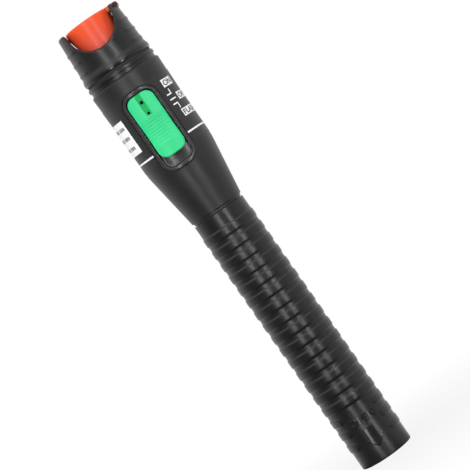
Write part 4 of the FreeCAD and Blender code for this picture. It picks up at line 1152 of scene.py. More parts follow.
@dataclass
class Crown:
    """Head collar: lipped tube with a scoop front and back, side ribs and a hinge knuckle."""

    lip_radius: float = 12.85
    lip_height: float = 2.2
    lip_edge: float = 0.5
    lip_slope: tuple[float, float] = (0.42, 0.83)
    slope_angle: float = -12.0
    foot_round: float = 0.3
    polished: tuple[float, float] = (0.35, 0.8)
    waist: tuple[float, float] = (1.0, 3.4)
    wall_from: float = 4.2
    wall_radius: float = 12.0
    waist_radius: float = 12.3
    top_radius: float = 11.5
    bore: float = 9.2
    neck_bore: float = 11.05
    neck_height: float = 4.05
    scoop_half: float = 8.45
    scoop_flare: float = 0.1
    scoop_depth: float = 10.5
    corner: float = 0.9
    outer_round: float = 0.75
    inner_round: float = 0.3
    rib_drops: tuple[float, ...] = (6.6, 10.55, 14.5)
    rib_half: float = 0.95
    rib_proud: float = 0.26
    rib_fade: tuple[float, float] = (0.70, 0.12)
    knuckle_half: float = 1.45
    knuckle_bore: float = 0.46
    cap_room: float = 3.65
    cap_room_depth: float = 2.3
    lug_room: tuple[float, float, float] = (9.6, 1.8, 3.0)
    boss: float = 0.86
    boss_reach: tuple[float, float] = (3.62, 4.6)
    foot: float = 0.0
    top: float = 0.0

    def build(self, finishes: Finishes) -> None:
        """Shape the collar, cut the hinge's room, add ribs and knuckle and dress it.

        Args:
            finishes: Every finish by name.
        """
        low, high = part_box("crown")
        self.foot, self.top = low.z / MM, high.z / MM
        table = self.table()
        collar = Bench.draped("crown_collar", len(table) - 1, len(table[0]) - 1, lambda i, j: table[i][j])
        near, far = self.knuckle_half, self.cap_room
        above, below, outside = self.top + 5, self.top - self.cap_room_depth, 20.0
        reach, half, depth = self.lug_room
        Bench.cut(
            collar,
            Bench.block("hinge_room_a", (0.0, near, below), (outside, far, above)),
            Bench.block("hinge_room_b", (0.0, -far, below), (outside, -near, above)),
            Bench.block("lug_room", (-reach, -half, self.top - depth), (0.0, half, above)),
        )
        start, end = self.boss_reach
        piece = Bench.joined(
            "crown_collar", collar,
            knuckle("crown_knuckle", -near, near, self.knuckle_bore),
            knuckle("pin_boss_front", -end, -start, 0.0, self.boss),
            knuckle("pin_boss_back", start, end, 0.0, self.boss),
        )
        Bench.smooth(piece, 42.0)
        paint(piece, finishes["shell_black"], finishes["shell_polished"])
        depth, height = self.polished
        for polygon in piece.data.polygons:
            x, y, z = (value / MM for value in polygon.center)
            if z < self.foot + height and math.hypot(x, y) > self.lip_radius - depth:
                polygon.material_index = 1
        place(piece, Body.PEN, "shell_black", "crown")

    def radius(self, z: float) -> float:
        """Outer radius above the lip."""
        start = self.foot + self.lip_height
        return self.waist_radius + (self.top_radius - self.waist_radius) * (z - start) / (self.top - start)

    def rim(self) -> list[Point]:
        """Rim of the collar, with its scoops.

        Returns:
            (outer angle, inner angle, height) once round, from the front.
        """
        floor = self.top - self.scoop_depth
        bowl = [math.radians(90 * i / 16) for i in range(17)]
        path = [(self.scoop_half * math.sin(t), floor + self.scoop_half * (1 - math.cos(t))) for t in bowl]
        start, end = path[-1][1], self.top - self.corner
        for share in (i / 3 for i in range(1, 4)):
            path.append((self.scoop_half + self.scoop_flare * share, start + (end - start) * share))
        quarter = [(math.asin(x / self.radius(z)), math.asin(x / self.bore), z) for x, z in path]
        wide, inner = path[-1][0], quarter[-1][1]
        for i in range(1, 6):
            turn = math.radians(90 * i / 5)
            x = wide + self.corner * (1 - math.cos(turn))
            z = end + self.corner * math.sin(turn)
            quarter.append((math.asin(x / self.radius(z)), inner + 0.05 * i / 5, z))
        outer, inner = quarter[-1][:2]
        side = math.pi / 2
        for i in range(1, 10):
            quarter.append((outer + (side - outer) * i / 9, inner + (side - inner) * i / 9, self.top))
        half = quarter + [(math.pi - o, math.pi - i, z) for o, i, z in reversed(quarter[:-1])]
        return half + [(math.tau - o, math.tau - i, z) for o, i, z in reversed(half[:-1])]

    def table(self) -> list[list[Point]]:
        """Points of the collar.

        Returns:
            A closed section for each column round the pen.
        """
        rim = self.rim()
        count = len(rim) - 1
        lengths = [0.0]
        for a, b in zip(rim, rim[1:]):
            lengths.append(lengths[-1] + math.hypot(self.wall_radius * (b[0] - a[0]), b[2] - a[2]))
        columns = []
        for k in range(count + 1):
            base = math.tau * lengths[k] / lengths[-1]
            near = rim[(k - 1) % count], rim[(k + 1) % count]
            outward = self.side(*near, 0, self.wall_radius)
            inward = self.side(*near, 1, self.bore)
            columns.append([spun(*point) for point in self.section(rim[k], base, outward, inward)])
        return columns

    @staticmethod
    def side(before: Point, after: Point, index: int, radius: float) -> tuple[float, float]:
        """Direction from the rim into the wall's face, along and up.

        Args:
            before: Rim point before.
            after: Rim point after.
            index: 0 for the outer face, 1 for the inner one.
            radius: The face's radius.

        Returns:
            Unit direction (along, up).
        """
        turn = (after[index] - before[index] + math.pi) % math.tau - math.pi
        along, rise = radius * turn, after[2] - before[2]
        length = math.hypot(along, rise)
        return rise / length, -along / length

    def section(
        self, rim: Point, base: float, outward: Sequence[float], inward: Sequence[float]
    ) -> list[Point]:
        """Closed section of one column as (radius, angle, height).

        Args:
            rim: The column's rim point.
            base: Its angle at the foot.
            outward: Direction from the rim into the outer face.
            inward: Direction from the rim into the inner face.

        Returns:
            The section's points.
        """
        outer, inner, high = rim
        lip, foot = self.lip_radius, self.foot
        neck = foot + self.neck_height
        depth, height = self.lip_slope
        edge = [(self.neck_bore, foot), (self.wall_radius, foot), (lip - self.lip_edge, foot)]
        edge += arc((lip - depth, foot + self.foot_round), self.foot_round, -90, self.slope_angle, 4)
        edge.append((lip, foot + height))
        low, high_waist = self.waist
        for i in range(9):
            z = foot + low + (high_waist - low) * i / 8
            edge.append((lip + (self.radius(z) - lip) * eased(i / 8), z))
        points = [(r, base, z) for r, z in edge]
        face = self.radius(high)
        end_turn = outer + outward[0] * self.outer_round / face
        end_high = high + outward[1] * self.outer_round
        start = foot + self.wall_from
        for i in range(49):
            z = start + (end_high - start) * i / 48
            turn = base + (end_turn - base) * i / 48
            points.append((self.radius(z) + self.ribbed(turn, z), turn, z))
        for i in range(1, 6):
            turn = math.radians(90 * i / 5)
            along, down = self.outer_round * (1 - math.sin(turn)), self.outer_round * (1 - math.cos(turn))
            points.append(self.across(rim, down, outward, along))
        wall = face - self.bore
        points.append(self.across(rim, wall * 0.6, outward, 0.0))
        for i in range(4):
            turn = math.radians(90 * i / 3)
            along, down = self.inner_round * (1 - math.cos(turn)), self.inner_round * (1 - math.sin(turn))
            points.append(self.across(rim, wall - down, inward, along))
        end_turn = inner + inward[0] * self.inner_round / self.bore
        end_high = high + inward[1] * self.inner_round
        for i in range(1, 7):
            turn = end_turn + (base - end_turn) * i / 6
            points.append((self.bore, turn, end_high + (neck + 0.6 - end_high) * i / 6))
        points += [(self.bore, base, neck), (self.neck_bore, base, neck), (self.neck_bore, base, foot)]
        return points

    def ribbed(self, turn: float, z: float) -> float:
        """Height of the finger ribs.

        Args:
            turn: Angle from the front.
            z: Height on the collar.

        Returns:
            How far the rib stands out there.
        """
        start, over = self.rib_fade
        fade = eased(within((abs(math.sin(turn)) - start) / over))
        offset = min(abs(self.top - drop - z) for drop in self.rib_drops)
        return self.rib_proud * fade * math.cos(min(1.0, offset / self.rib_half) * math.pi / 2) ** 2

    def across(self, rim: Point, depth: float, side: Sequence[float], along: float) -> Point:
        """Point on the rim's own face.

        Args:
            rim: The rim point.
            depth: How far in from the outer face.
            side: Direction into the wall's face.
            along: How far along it.

        Returns:
            (radius, angle, height).
        """
        outer, inner, high = rim
        face = self.radius(high)
        radius = face - depth
        turn = outer + (inner - outer) * depth / (face - self.bore)
        return radius, turn + side[0] * along / radius, high + side[1] * along


def knuckle(name: str, start: float, end: float, hole: float, radius: float = 1.0) -> Piece:
    """Hinge knuckle round the cap's pin, or a boss over its end.

    Args:
        name: The piece's name.
        start: Its end towards the front.
        end: Its end towards the back.
        hole: Radius of its bore, or 0 for none.
        radius: Its own radius.

    Returns:
        The knuckle, in place.
    """
    edge = radius - 0.1
    outline = [(hole, start), (edge, start), (radius, start + 0.1)]
    outline += [(radius, end - 0.1), (edge, end), (hole, end)]
    piece = Bench.turned(name, outline, 40, closed=hole > 0)
    axis = sum(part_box("cap_hinge_pin"), Vector()) / 2
    for point in piece.data.vertices:
        x, y, z = point.co
        point.co = Vector((x + axis.x, z, -y + axis.z))
    Bench.close(piece)
    return piece


@dataclass
class DustCap:
    """Red flip cap: flanged cup with two knuckles, their arms and a lug to lift it by."""

    flange: float = 8.42
    flange_height: float = 2.7
    flange_round: float = 0.4
    skirt: float = 8.0
    skirt_round: float = 0.15
    wall: float = 1.35
    roof: float = 2.5
    sweep: float = 19.15
    # How the flange runs into the skirt: from under its edge, over a length, with a power.
    waist: tuple[float, float, float] = (0.8, 6.0, 0.7)
    # Corners of the lug, from the top's middle.
    lug: tuple[Point, Point] = ((-9.0, -1.5, -2.7), (-7.4, 1.5, -1.5))
    lug_bevel: float = 0.25
    arm_from: float = 7.0
    arm_drops: tuple[float, float] = (1.85, 0.02)
    arm_bevel: float = 0.15
    knuckle_from: float = 1.6
    knuckle_to: float = 3.5
    knuckle_bore: float = 0.49
    steps: int = 120

    def build(self, finishes: Finishes) -> None:
        """Shape the cup, add lug, arms and knuckles and dress them.

        Args:
            finishes: Every finish by name.
        """
        low, high = (corner.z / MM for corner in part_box("dust_cap"))
        pin = sum(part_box("cap_hinge_pin"), Vector()) / 2 / MM
        table = [self.section(math.tau * i / self.steps, low, high, pin) for i in range(self.steps + 1)]
        cup = Bench.draped("dust_cap_cup", self.steps, len(table[0]) - 1, lambda i, j: table[i][j])
        lug = Bench.block("cap_lug", *((x, y, high + z) for x, y, z in self.lug))
        Bench.bevelled(lug, self.lug_bevel)
        extras = [lug]
        under, over = (high - drop for drop in self.arm_drops)
        for side in (-1, 1):
            near, far = sorted((side * self.knuckle_from, side * self.knuckle_to))
            arm = Bench.block("cap_arm", (self.arm_from, near, under), (pin.x, far, over))
            Bench.bevelled(arm, self.arm_bevel)
            extras += [arm, knuckle("cap_knuckle", near, far, self.knuckle_bore)]
        piece = Bench.joined("dust_cap_cup", cup, *extras)
        Bench.smooth(piece)
        paint(piece, finishes["cap_red"])
        place(piece, Body.CAP, "cap_red", "dust_cap")

    def section(self, turn: float, low: float, top: float, pin: Vector) -> list[Point]:
        """Section of the cup at an angle, its edge raised where it swings past the collar.

        Args:
            turn: Angle from the front.
            low: Height of the skirt's edge.
            top: Height of the cap's top.
            pin: Middle of the hinge pin.

        Returns:
            Points (x, y, z) from the top's middle to the roof's middle.
        """
        edge = low
        reach = pin.x - (self.skirt - 0.1) * math.sin(turn)
        if 0 < reach < self.sweep:
            edge = max(low, pin.z - math.sqrt(self.sweep ** 2 - reach ** 2))
        edge = min(edge, top - self.flange_height - 0.6)
        bore = self.skirt - self.wall
        ledge, roof, curl = top - self.flange_height, top - self.roof, self.skirt_round
        rounding, (rise, length, power) = self.flange_round, self.waist
        start = ledge + rise
        points = [(0.0, top), (self.flange * 0.5, top), (self.flange - 3 * rounding, top)]
        points += arc((self.flange - rounding, top - rounding), rounding, 90, 0, 5)
        points += [(self.flange, top - rounding - 0.12), (self.flange, start + 0.6)]
        for i in range(11):
            z = start + (edge + 2 * curl - start) * i / 10
            share = min(1.0, (start - z) / length)
            points.append((self.flange + (self.skirt - self.flange) * share ** power, z))
        points += arc((self.skirt - curl, edge + curl), curl, 0, -90, 3)
        points += arc((bore + curl, edge + curl), curl, -90, -180, 3)
        points += [(bore, edge + 2 * curl), (bore, roof - 0.6), (bore - 0.2, roof - 0.15)]
        points += [(bore - 0.6, roof), (0.0, roof)]
        return [spun(r, turn, z) for r, z in points]


# ---- print on the housing --------------------------------------------------------------------


@dataclass
class LegendBox:
    """White box of the switch legend with a dark word in it."""

    name: str
    word: str
    start: float
    width: float
    low: float
    high: float


@dataclass
class Legend:
    """White ink of the switch legend and the index line."""

    base: float = 12.78
    flare_from: float = 140.555
    flare_to: float = 152.755
    flare: float = 0.32
    skin: float = 0.115
    ink: float = 0.015
    stroke: float = 0.45
    word_margins: tuple[float, float] = (1.0, 0.8)
    line_width: float = 0.6
    line_height: float = 125.4
    line_gap: float = 32.5
    boxes: tuple[LegendBox, ...] = (
        LegendBox("steady", "ON", 43.7, 5.7, 141.8, 144.6),
        LegendBox("off", "OFF", 58.0, 6.6, 136.0, 138.7),
        LegendBox("flashing", "FLASH", 46.2, 9.6, 130.3, 133.0),
    )
    # Strokes of the brackets: from, to (degrees), low, high. A tall one is a post at its far end.
    strokes: tuple[tuple[float, ...], ...] = (
        (39.2, 49.6, 138.97, 139.43), (47.6, 49.6, 138.97, 141.0),
        (39.2, 52.1, 137.07, 137.53),
        (39.2, 49.6, 135.27, 135.73), (47.6, 49.6, 133.5, 135.73),
    )

    def radius(self, z: float) -> float:
        """Outer radius of the film at a height."""
        share = within((z - self.flare_from) / (self.flare_to - self.flare_from))
        return self.base + self.flare * share + self.skin

    def patch(self, name: str, start: float, width: float, low: float, high: float) -> Piece:
        """Thin printed rectangle on the film.

        Args:
            name: The piece's name.
            start: Its left edge in degrees from the front.
            width: Its width round the film.
            low: Its lower edge.
            high: Its upper edge.

        Returns:
            The rectangle, bent round the film.
        """
        piece = Bench.block(name, (0.0, -self.ink, low), (width, 0.0, high))
        Bench.wrapped(piece, 0.5, self.radius, start)
        return piece

    def build(self, finishes: Finishes) -> None:
        """Print the boxes, brackets and index line, then the dark words.

        Args:
            finishes: Every finish by name.
        """
        white, dark = [], []
        for box in self.boxes:
            white.append(self.patch(f"legend_{box.name}", box.start, box.width, box.low, box.high))
            middle = box.start + math.degrees(box.width / 2 / self.radius(box.low))
            size = box.width - self.word_margins[0], box.high - box.low - self.word_margins[1]
            word = Bench.lettering(
                f"word_{box.name}", box.word, *size, (box.low + box.high) / 2, self.ink, self.ink
            )
            Bench.wrapped(word, 0.4, self.radius, middle)
            dark.append(word)
        for i, (start, end, low, high) in enumerate(self.strokes):
            width = math.radians(end - start) * self.radius(low)
            if high - low > 2 * self.stroke:
                start += math.degrees((width - self.stroke) / self.radius(low))
                width = self.stroke
            white.append(self.patch(f"bracket_{i}", start, width, low, high))
        low = self.line_height - self.line_width / 2
        around = math.radians(360 - 2 * self.line_gap) * self.radius(low)
        white.append(self.patch("index_line", self.line_gap, around, low, low + self.line_width))
        prints = (
            ("legend_white", white, "ink_white", "label_white"),
            ("legend_words", dark, "film_black", "film_black"),
        )
        for name, pieces, finish, slot in prints:
            ink = Bench.joined(name, *pieces)
            paint(ink, finishes[finish])
            place(ink, Body.PEN, slot)


@dataclass
class LabelPrint:
    """Plain grey bars in three rows on the white label."""

    radius: float = 13.0
    start: float = -49.0
    ink: float = 0.012
    bar_half: float = 0.6
    row_shift: float = 0.4
    rows: tuple[float, ...] = (138.4, 134.9, 131.3)
    bars: tuple[tuple[float, float], ...] = (
        (0.0, 0.5), (0.75, 0.35), (1.35, 0.6), (2.2, 0.4), (2.85, 0.35), (4.1, 0.6), (4.95, 0.35),
        (5.55, 0.5), (6.9, 0.4), (7.5, 0.7), (8.45, 0.35), (9.05, 0.5), (10.6, 0.6), (11.5, 0.4),
        (12.1, 0.5), (13.6, 0.6), (14.45, 0.4), (15.1, 0.7), (16.9, 0.5), (17.6, 0.4), (18.3, 0.6),
    )

    def build(self, finishes: Finishes) -> None:
        """Print the bars.

        Args:
            finishes: Every finish by name.
        """
        made = []
        for i, z in enumerate(self.rows):
            for j, (offset, width) in enumerate(self.bars):
                right = -offset - self.row_shift * i
                low, high = (right - width, -self.ink, z - self.bar_half), (right, 0.0, z + self.bar_half)
                bar = Bench.block(f"bar_{i}_{j}", low, high)
                Bench.wrapped(bar, 0.5, lambda height: self.radius, self.start)
                made.append(bar)
        piece = Bench.joined("label_bars", *made)
        paint(piece, finishes["ink_grey"])
        place(piece, Body.PEN, "label_white")


# ---- switch ---------------------------------------------------------------------------------


@dataclass
class Bezel:
    """Glossy tub let into the housing, with a rounded rim and a slot for the slider's stem."""

    half: float = 6.525
    corner: float = 4.7
    side_rim: float = 1.25
    end_rim: float = 1.5
    pocket_corner: float = 2.7
    floor: float = 10.58
    floor_curve: float = 18.0
    back: float = 9.58
    wall_inset: float = 0.09
    foot_inset: float = 1.85
    slot_half: float = 1.6
    slot: tuple[float, float] = (127.97, 135.78)
    corner_cuts: int = 10
    side_cuts: int = 14
    end_cuts: int = 6
    middle: float = 0.0
    half_length: float = 0.0
    # Wall and rim in section as levels and (inset, level), floor edge as (inset, rise above it).
    wall: tuple[float, ...] = (11.8, 12.5, 12.86, 12.93)
    rim: tuple[tuple[float, float], ...] = (
        (0.12, 13.0), (0.19, 13.05), (0.32, 13.08), (0.5, 13.09), (0.8, 13.09), (0.98, 13.07),
        (1.11, 13.01), (1.19, 12.92), (1.23, 12.8), (1.25, 12.6), (1.25, 12.2),
    )
    fillet: tuple[tuple[float, float], ...] = (
        (1.27, 0.55), (1.3, 0.4), (1.42, 0.16), (1.62, 0.03), (1.85, 0.0),
    )

    def build(self, finishes: Finishes) -> None:
        """Shape the tub in rings from its back over the rim to its floor, and dress it.

        Args:
            finishes: Every finish by name.
        """
        low, high = (corner.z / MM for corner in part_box("switch_bezel"))
        self.middle, self.half_length = (low + high) / 2, (high - low) / 2
        table = [[self.spot(ring, point) for point in self.loop(ring[0])] for ring in self.rings()]
        count = len(table[0])
        tub = Bench.draped("bezel_tub", len(table) - 1, count, lambda i, j: table[i][j % count])
        near, far = (-self.slot_half, -self.floor - 1, self.slot[0]), (self.slot_half, 0, self.slot[1])
        Bench.cut(tub, Bench.block("stem_slot", near, far))
        Bench.smooth(tub, 42.0)
        paint(tub, finishes["bezel_gloss"])
        place(tub, Body.PEN, "bezel_gloss", "switch_bezel")

    def rings(self) -> list[Point]:
        """Rings of the tub, from the middle of its back to the middle of its floor.

        Returns:
            (inset, level at the middle, radius that it curves on).
        """
        rings = [(self.half * i / 4, self.back, math.inf) for i in (4, 3, 2, 1)]
        rings.append((self.wall_inset, self.back, math.inf))
        wall = [(self.wall_inset, level) for level in self.wall]
        rings += [(inset, level, level) for inset, level in (*wall, *self.rim)]
        inner = [(self.foot_inset + (self.half - self.foot_inset) * i / 6, 0.0) for i in range(1, 7)]
        low = [(inset, self.floor + rise, self.floor_curve) for inset, rise in (*self.fillet, *inner)]
        return rings + low

    def loop(self, inset: float) -> Outline:
        """Rounded rectangle at an inset from the tub's edge.

        Args:
            inset: How far in.

        Returns:
            Points (x, z) once round.
        """
        share = min(1.0, inset / self.side_rim)
        half = self.half - inset
        tall = self.half_length - inset - (self.end_rim - self.side_rim) * share
        corner = self.corner + (self.pocket_corner - self.corner) * share
        corner = max(0.0, min(corner, corner - (inset - self.side_rim), half))
        bends = []
        for quarter, (sx, sz) in enumerate(((1, 1), (-1, 1), (-1, -1), (1, -1))):
            centre = sx * (half - corner), self.middle + sz * (tall - corner)
            bends.append(arc(centre, corner, 90 * quarter, 90 * quarter + 90, self.corner_cuts))
        points = []
        for quarter, bend in enumerate(bends):
            start, end = bend[-1], bends[(quarter + 1) % 4][0]
            cuts = self.side_cuts if quarter % 2 else self.end_cuts
            points += bend[:-1]
            points += [tuple(a + (b - a) * i / cuts for a, b in zip(start, end)) for i in range(cuts)]
        return points

    @staticmethod
    def spot(ring: Point, point: tuple[float, float]) -> Point:
        """Point of a ring.

        Args:
            ring: The ring.
            point: Its place (x, z).

        Returns:
            The point (x, y, z).
        """
        x, z = point
        drop = 0.0 if math.isinf(ring[2]) else ring[2] - math.sqrt(ring[2] ** 2 - x * x)
        return x, drop - ring[1], z


@dataclass
class Slider:
    """Green thumb slider: rounded face, a channel in a deeper green, two small holes and a ridged dish."""

    face: float = 13.28
    back: float = 10.73
    half: float = 4.925
    corner: float = 3.0
    edge: float = 0.42
    channel_half: float = 0.9
    channel_length: float = 7.75
    channel_depth: float = 0.4
    dish_top: float = 8.6
    dish_length: float = 9.5
    dish_depth: float = 0.55
    dent: float = 0.12
    dent_radius: float = 0.7
    ridges: int = 8
    ridge_height: float = 0.1
    ridge_half: float = 3.8
    ridge_fade: float = 0.3
    ridge_sink: float = 0.2
    holes: tuple[tuple[float, float], ...] = ((0.63, 3.0), (0.5, 7.1))
    hole_depth: float = 2.6
    plug_gap: float = 0.03
    plug_drop: float = 0.7
    plug_height: float = 0.6
    stem_half: tuple[float, float] = (1.3, 1.9)
    stem_back: float = 9.3
    edge_cuts: tuple[float, ...] = (0.0, 0.03, 0.08, 0.15, 0.24, 0.34, 0.45, 0.7)
    side_cuts: tuple[float, ...] = (1.05, 1.45, 1.9, 2.4, 2.9, 3.4)
    end_cuts: tuple[float, ...] = (1.1, 1.6, 2.1, 2.6)
    row_gap: float = 0.6
    least_gap: float = 0.025
    low: float = 0.0
    high: float = 0.0

    def build(self, finishes: Finishes) -> None:
        """Shape the face, close it behind, drill the holes and dress it.

        Args:
            finishes: Every finish by name.
        """
        low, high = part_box("slider_button")
        self.low, self.high = low.z / MM, high.z / MM
        xs, shares = self.columns(), self.rows()
        face = Bench.draped(
            "slider_face", len(xs) - 1, len(shares) - 1, lambda i, j: self.spot(xs[i], shares[j])
        )
        self.close_back(face)
        holes = []
        for i, (radius, drop) in enumerate(self.holes):
            Bench.clear()
            bpy.ops.mesh.primitive_cylinder_add(
                vertices=40, radius=radius * MM, depth=self.hole_depth * MM, rotation=(math.pi / 2, 0, 0),
                location=(0, -(self.face - self.channel_depth) * MM, (self.high - drop) * MM),
            )
            holes.append(Bench.seat(f"hole_{i}"))
        Bench.cut(face, *holes)
        middle, (side, reach) = (self.low + self.high) / 2, self.stem_half
        near, far = (-side, -self.back - 0.2, middle - reach), (side, -self.stem_back, middle + reach)
        piece = Bench.joined("slider_face", face, Bench.block("slider_stem", near, far))
        Bench.smooth(piece, 32.0)
        paint(piece, finishes["slider_green"], finishes["slider_channel"])
        # Faces in the channel take a deeper, more saturated green than the rest of the face.
        channel_end = self.high - self.channel_length - 0.02
        for polygon in piece.data.polygons:
            x, y, z = (value / MM for value in polygon.center)
            sunk = math.sqrt(self.face ** 2 - x * x) + y
            if abs(x) < self.channel_half + 0.01 and z > channel_end and sunk > 0.3:
                polygon.material_index = 1
        place(piece, Body.SLIDER, "slider_green", "slider_button")
        self.plugs(finishes)

    def plugs(self, finishes: Finishes) -> None:
        """Dark discs a little down the two holes, so that the holes read dark.

        Args:
            finishes: Every finish by name.
        """
        made = []
        rim = self.plug_height
        level = self.face - self.channel_depth - self.plug_drop - rim
        for i, (radius, drop) in enumerate(self.holes):
            side = radius - self.plug_gap
            outline = [(0.0, 0.0), (side, 0.0), (side, rim - 0.1), (side - 0.12, rim), (0.0, rim)]
            plug = Bench.turned(f"plug_{i}", outline, 32)
            for point in plug.data.vertices:
                x, y, z = point.co
                point.co = Vector((x, -level * MM - z, y + (self.high - drop) * MM))
            Bench.close(plug)
            made.append(plug)
        piece = Bench.joined("slider_plugs", *made)
        Bench.smooth(piece)
        paint(piece, finishes["hole_black"])
        place(piece, Body.SLIDER, "chip_black")

    def columns(self) -> list[float]:
        """Distances across, closer together at the edges and at the channel's sides.

        Returns:
            The distances, from left to right.
        """
        right = [self.half - cut for cut in (*self.edge_cuts, *self.side_cuts)]
        right = sorted([*right, 0.45, self.channel_half, self.channel_half + 0.05, 1.2])
        return [-x for x in reversed(right)] + [0.0] + right

    def rows(self) -> list[float]:
        """Shares of the length, closer together at the ends, the channel's end and the ridges.

        Returns:
            The shares, from the tail up.
        """
        length = self.high - self.low
        channel = length - self.channel_length
        dish = length - self.dish_top - self.dish_length
        count = self.ridges * 10
        ends = (*self.edge_cuts, *self.end_cuts)
        marks = {*ends, *(length - end for end in ends), channel, channel - 0.05}
        marks |= {dish + self.dish_length * i / count for i in range(count + 1)}
        marks |= {3.3 + self.row_gap * i for i in range(4)}
        marks |= {channel + 0.5 + self.row_gap * i for i in range(8)}
        ordered = sorted(m for m in marks if 0.0 <= m <= length)
        kept = [ordered[0]]
        for mark in ordered[1:]:
            if mark - kept[-1] > self.least_gap:
                kept.append(mark)
        return [mark / length for mark in kept]

    def spot(self, x: float, share: float) -> Point:
        """Point of the face.

        Args:
            x: Distance across.
            share: Share of the length at this place.

        Returns:
            The point (x, y, z).
        """
        over = max(0.0, abs(x) - (self.half - self.corner))
        short = self.corner - math.sqrt(max(0.0, self.corner ** 2 - over ** 2))
        z = self.low + short + (self.high - self.low - 2 * short) * share
        return x, -(math.sqrt(self.face ** 2 - x * x) - self.depth(x, z)), z

    def depth(self, x: float, z: float) -> float:
        """How far the face lies under its plain curve.

        Args:
            x: Distance across.
            z: Height.

        Returns:
            The depth.
        """
        middle, half_length = (self.low + self.high) / 2, (self.high - self.low) / 2
        across = abs(x) - (self.half - self.corner)
        along = abs(z - middle) - (half_length - self.corner)
        over = math.hypot(across, along) if across > 0 and along > 0 else max(across, along)
        near = min(self.edge, max(0.0, self.corner - over))
        down = self.edge - math.sqrt(self.edge ** 2 - (self.edge - near) ** 2)
        offset = z - (self.high - self.dish_top - self.dish_length / 2)
        if abs(offset) < self.dish_length / 2:
            radius = (self.dish_length ** 2 / 4 + self.dish_depth ** 2) / (2 * self.dish_depth)
            sink = math.sqrt(radius ** 2 - offset ** 2) - (radius - self.dish_depth)
            pitch = self.dish_length / (self.ridges + 1)
            phase = math.pi if self.ridges % 2 == 0 else 0.0
            ridge = max(0.0, math.cos(math.tau * offset / pitch + phase)) ** 3
            fade = within((self.ridge_half - abs(x)) / self.ridge_fade)
            sink -= self.ridge_height * ridge * fade * min(1.0, sink / self.ridge_sink)
            down += sink + self.dent * max(0.0, 1 - math.hypot(x, offset) / self.dent_radius)
        if abs(x) <= self.channel_half + 0.001 and z >= self.high - self.channel_length - 0.001:
            down = max(down, self.channel_depth)
        return down

    def close_back(self, piece: Piece) -> None:
        """Run the face's edge straight back and fill it there.

        Args:
            piece: The face.
        """
        Bench.open(piece)
        bpy.ops.mesh.select_mode(type="EDGE")
        bpy.ops.mesh.select_all(action="DESELECT")
        bpy.ops.mesh.select_non_manifold(
            extend=False, use_wire=False, use_multi_face=False, use_non_contiguous=False, use_verts=False
        )
        bpy.ops.mesh.extrude_region_move(TRANSFORM_OT_translate={"value": (0, MM, 0)})
        bpy.ops.mesh.edge_face_add()
        bpy.ops.mesh.select_mode(type="VERT")
        bpy.ops.object.mode_set(mode="OBJECT")
        for point in piece.data.vertices:
            if point.select:
                point.co.y = -self.back * MM
        Bench.close(piece, 0.0002)


# ---- carried-over nodes ---------------------------------------------------------------------


@dataclass
class Carried:
    """CAD nodes that keep their shape and take a finish."""

    finishes: Finishes
    nodes: dict[str, str]

    def dress(self) -> None:
        """Give each node its material."""
        for name, slot in self.nodes.items():
            piece = frame["nodes"][name]
            piece.data.materials.clear()
            paint(piece, self.finishes[slot])
            log.info("node %s takes %s", name, slot)


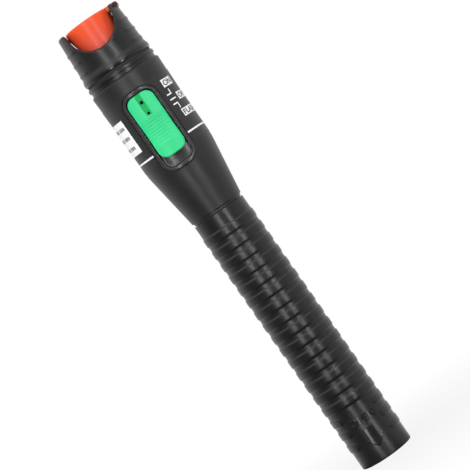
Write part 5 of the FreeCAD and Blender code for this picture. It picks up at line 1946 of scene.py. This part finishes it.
def all_finishes() -> Finishes:
    """Build every finish.

    Returns:
        Finish name to material.
    """
    cell_low, cell_high = (corner.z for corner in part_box("cell_rear"))
    cap_low, cap_high = (corner.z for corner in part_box("dust_cap"))
    makers = (
        Moulding("shell_black", (0.011, 0.011, 0.0115), 0.31, soften=0.25),
        Moulding("housing_black", (0.015, 0.015, 0.0155), 0.41, soften=0.25),
        Moulding("carrier_black", (0.022, 0.022, 0.023), 0.5),
        Moulding(
            "bezel_gloss", (0.036, 0.033, 0.034), 0.25, grain_depth=0.001, spread=0.06, soften=0.3
        ),
        # The cap's first colour is painted light, a brighter orange-red for its top.
        CapWithPaintedTopLight("cap_red", (0.84, 0.088, 0.019), (0.70, 0.09, 0.055), cap_low, cap_high),
        Moulding(
            "slider_green", (0.026, 0.62, 0.235), 0.42, specular=0.35, grain_depth=0.001,
            blotch=0.05, scuffs=0.08, subsurface=0.1, soften=0.2,
        ),
        Moulding("rubber_black", (0.012, 0.012, 0.012), 0.7, grain_depth=0.008, grain_scale=2200.0),
        Moulding("film_black", (0.019, 0.019, 0.0195), 0.42, grain_depth=0.002, scuffs=0.15),
        Paper("label_white", (0.83, 0.835, 0.84)),
        TurnedMetal("nickel", (0.66, 0.63, 0.58), 0.22),
        TurnedMetal("nut_black", (0.03, 0.03, 0.035), 0.4, metallic=0.6),
        TurnedMetal("brass", (0.72, 0.47, 0.18), 0.28),
        TurnedMetal("steel", (0.58, 0.58, 0.58), 0.24),
        SolderMask("board_green", (0.01, 0.12, 0.05), (0.03, 0.2, 0.08)),
        Moulding("chip_black", (0.02, 0.02, 0.021), 0.45, grain_depth=0.006),
        Moulding("capacitor_tan", (0.55, 0.33, 0.09), 0.42, scuffs=0.1),
        Moulding("ceramic_white", (0.82, 0.8, 0.76), 0.18, grain_depth=0.001, blotch=0.04, scuffs=0.0),
        Optic("optic_glass", (0.93, 0.96, 0.98)),
        Moulding(
            "shell_polished", (0.012, 0.012, 0.0125), 0.17, grain_depth=0.001, scuffs=0.1, soften=0.15
        ),
        Moulding(
            "slider_channel", (0.004, 0.40, 0.1), 0.45, specular=0.2, grain_depth=0.001,
            blotch=0.05, scuffs=0.05,
        ),
        Moulding("hole_black", (0.003, 0.004, 0.003), 0.7, specular=0.1, scuffs=0.0),
        Moulding("ink_white", (0.8, 0.8, 0.8), 0.45, grain_depth=0.001, blotch=0.06, scuffs=0.0),
        Moulding("ink_grey", (0.035, 0.035, 0.038), 0.5, grain_depth=0.001, blotch=0.1, scuffs=0.0),
        CellWrap("cell_wrap", (0.02, 0.035, 0.06), (0.65, 0.4, 0.1), cell_low, cell_high - cell_low),
    )
    return {maker.name: maker.make() for maker in makers}


def main() -> None:
    """Build the pen's looks in order and report each piece."""
    logging.basicConfig(level=logging.INFO, format="%(message)s")
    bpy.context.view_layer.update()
    finishes = all_finishes()
    Studio().build()
    slots = {part["node"]: part["material_slot"] for part in frame["record"]["subparts"]}
    slots["switch_housing"] = "housing_black"
    Carried(finishes, slots).dress()
    for assembly in (GripSleeve(), Crown(), DustCap(), Legend(), LabelPrint(), Bezel(), Slider()):
        assembly.build(finishes)


if __name__ == "__main__":
    main()
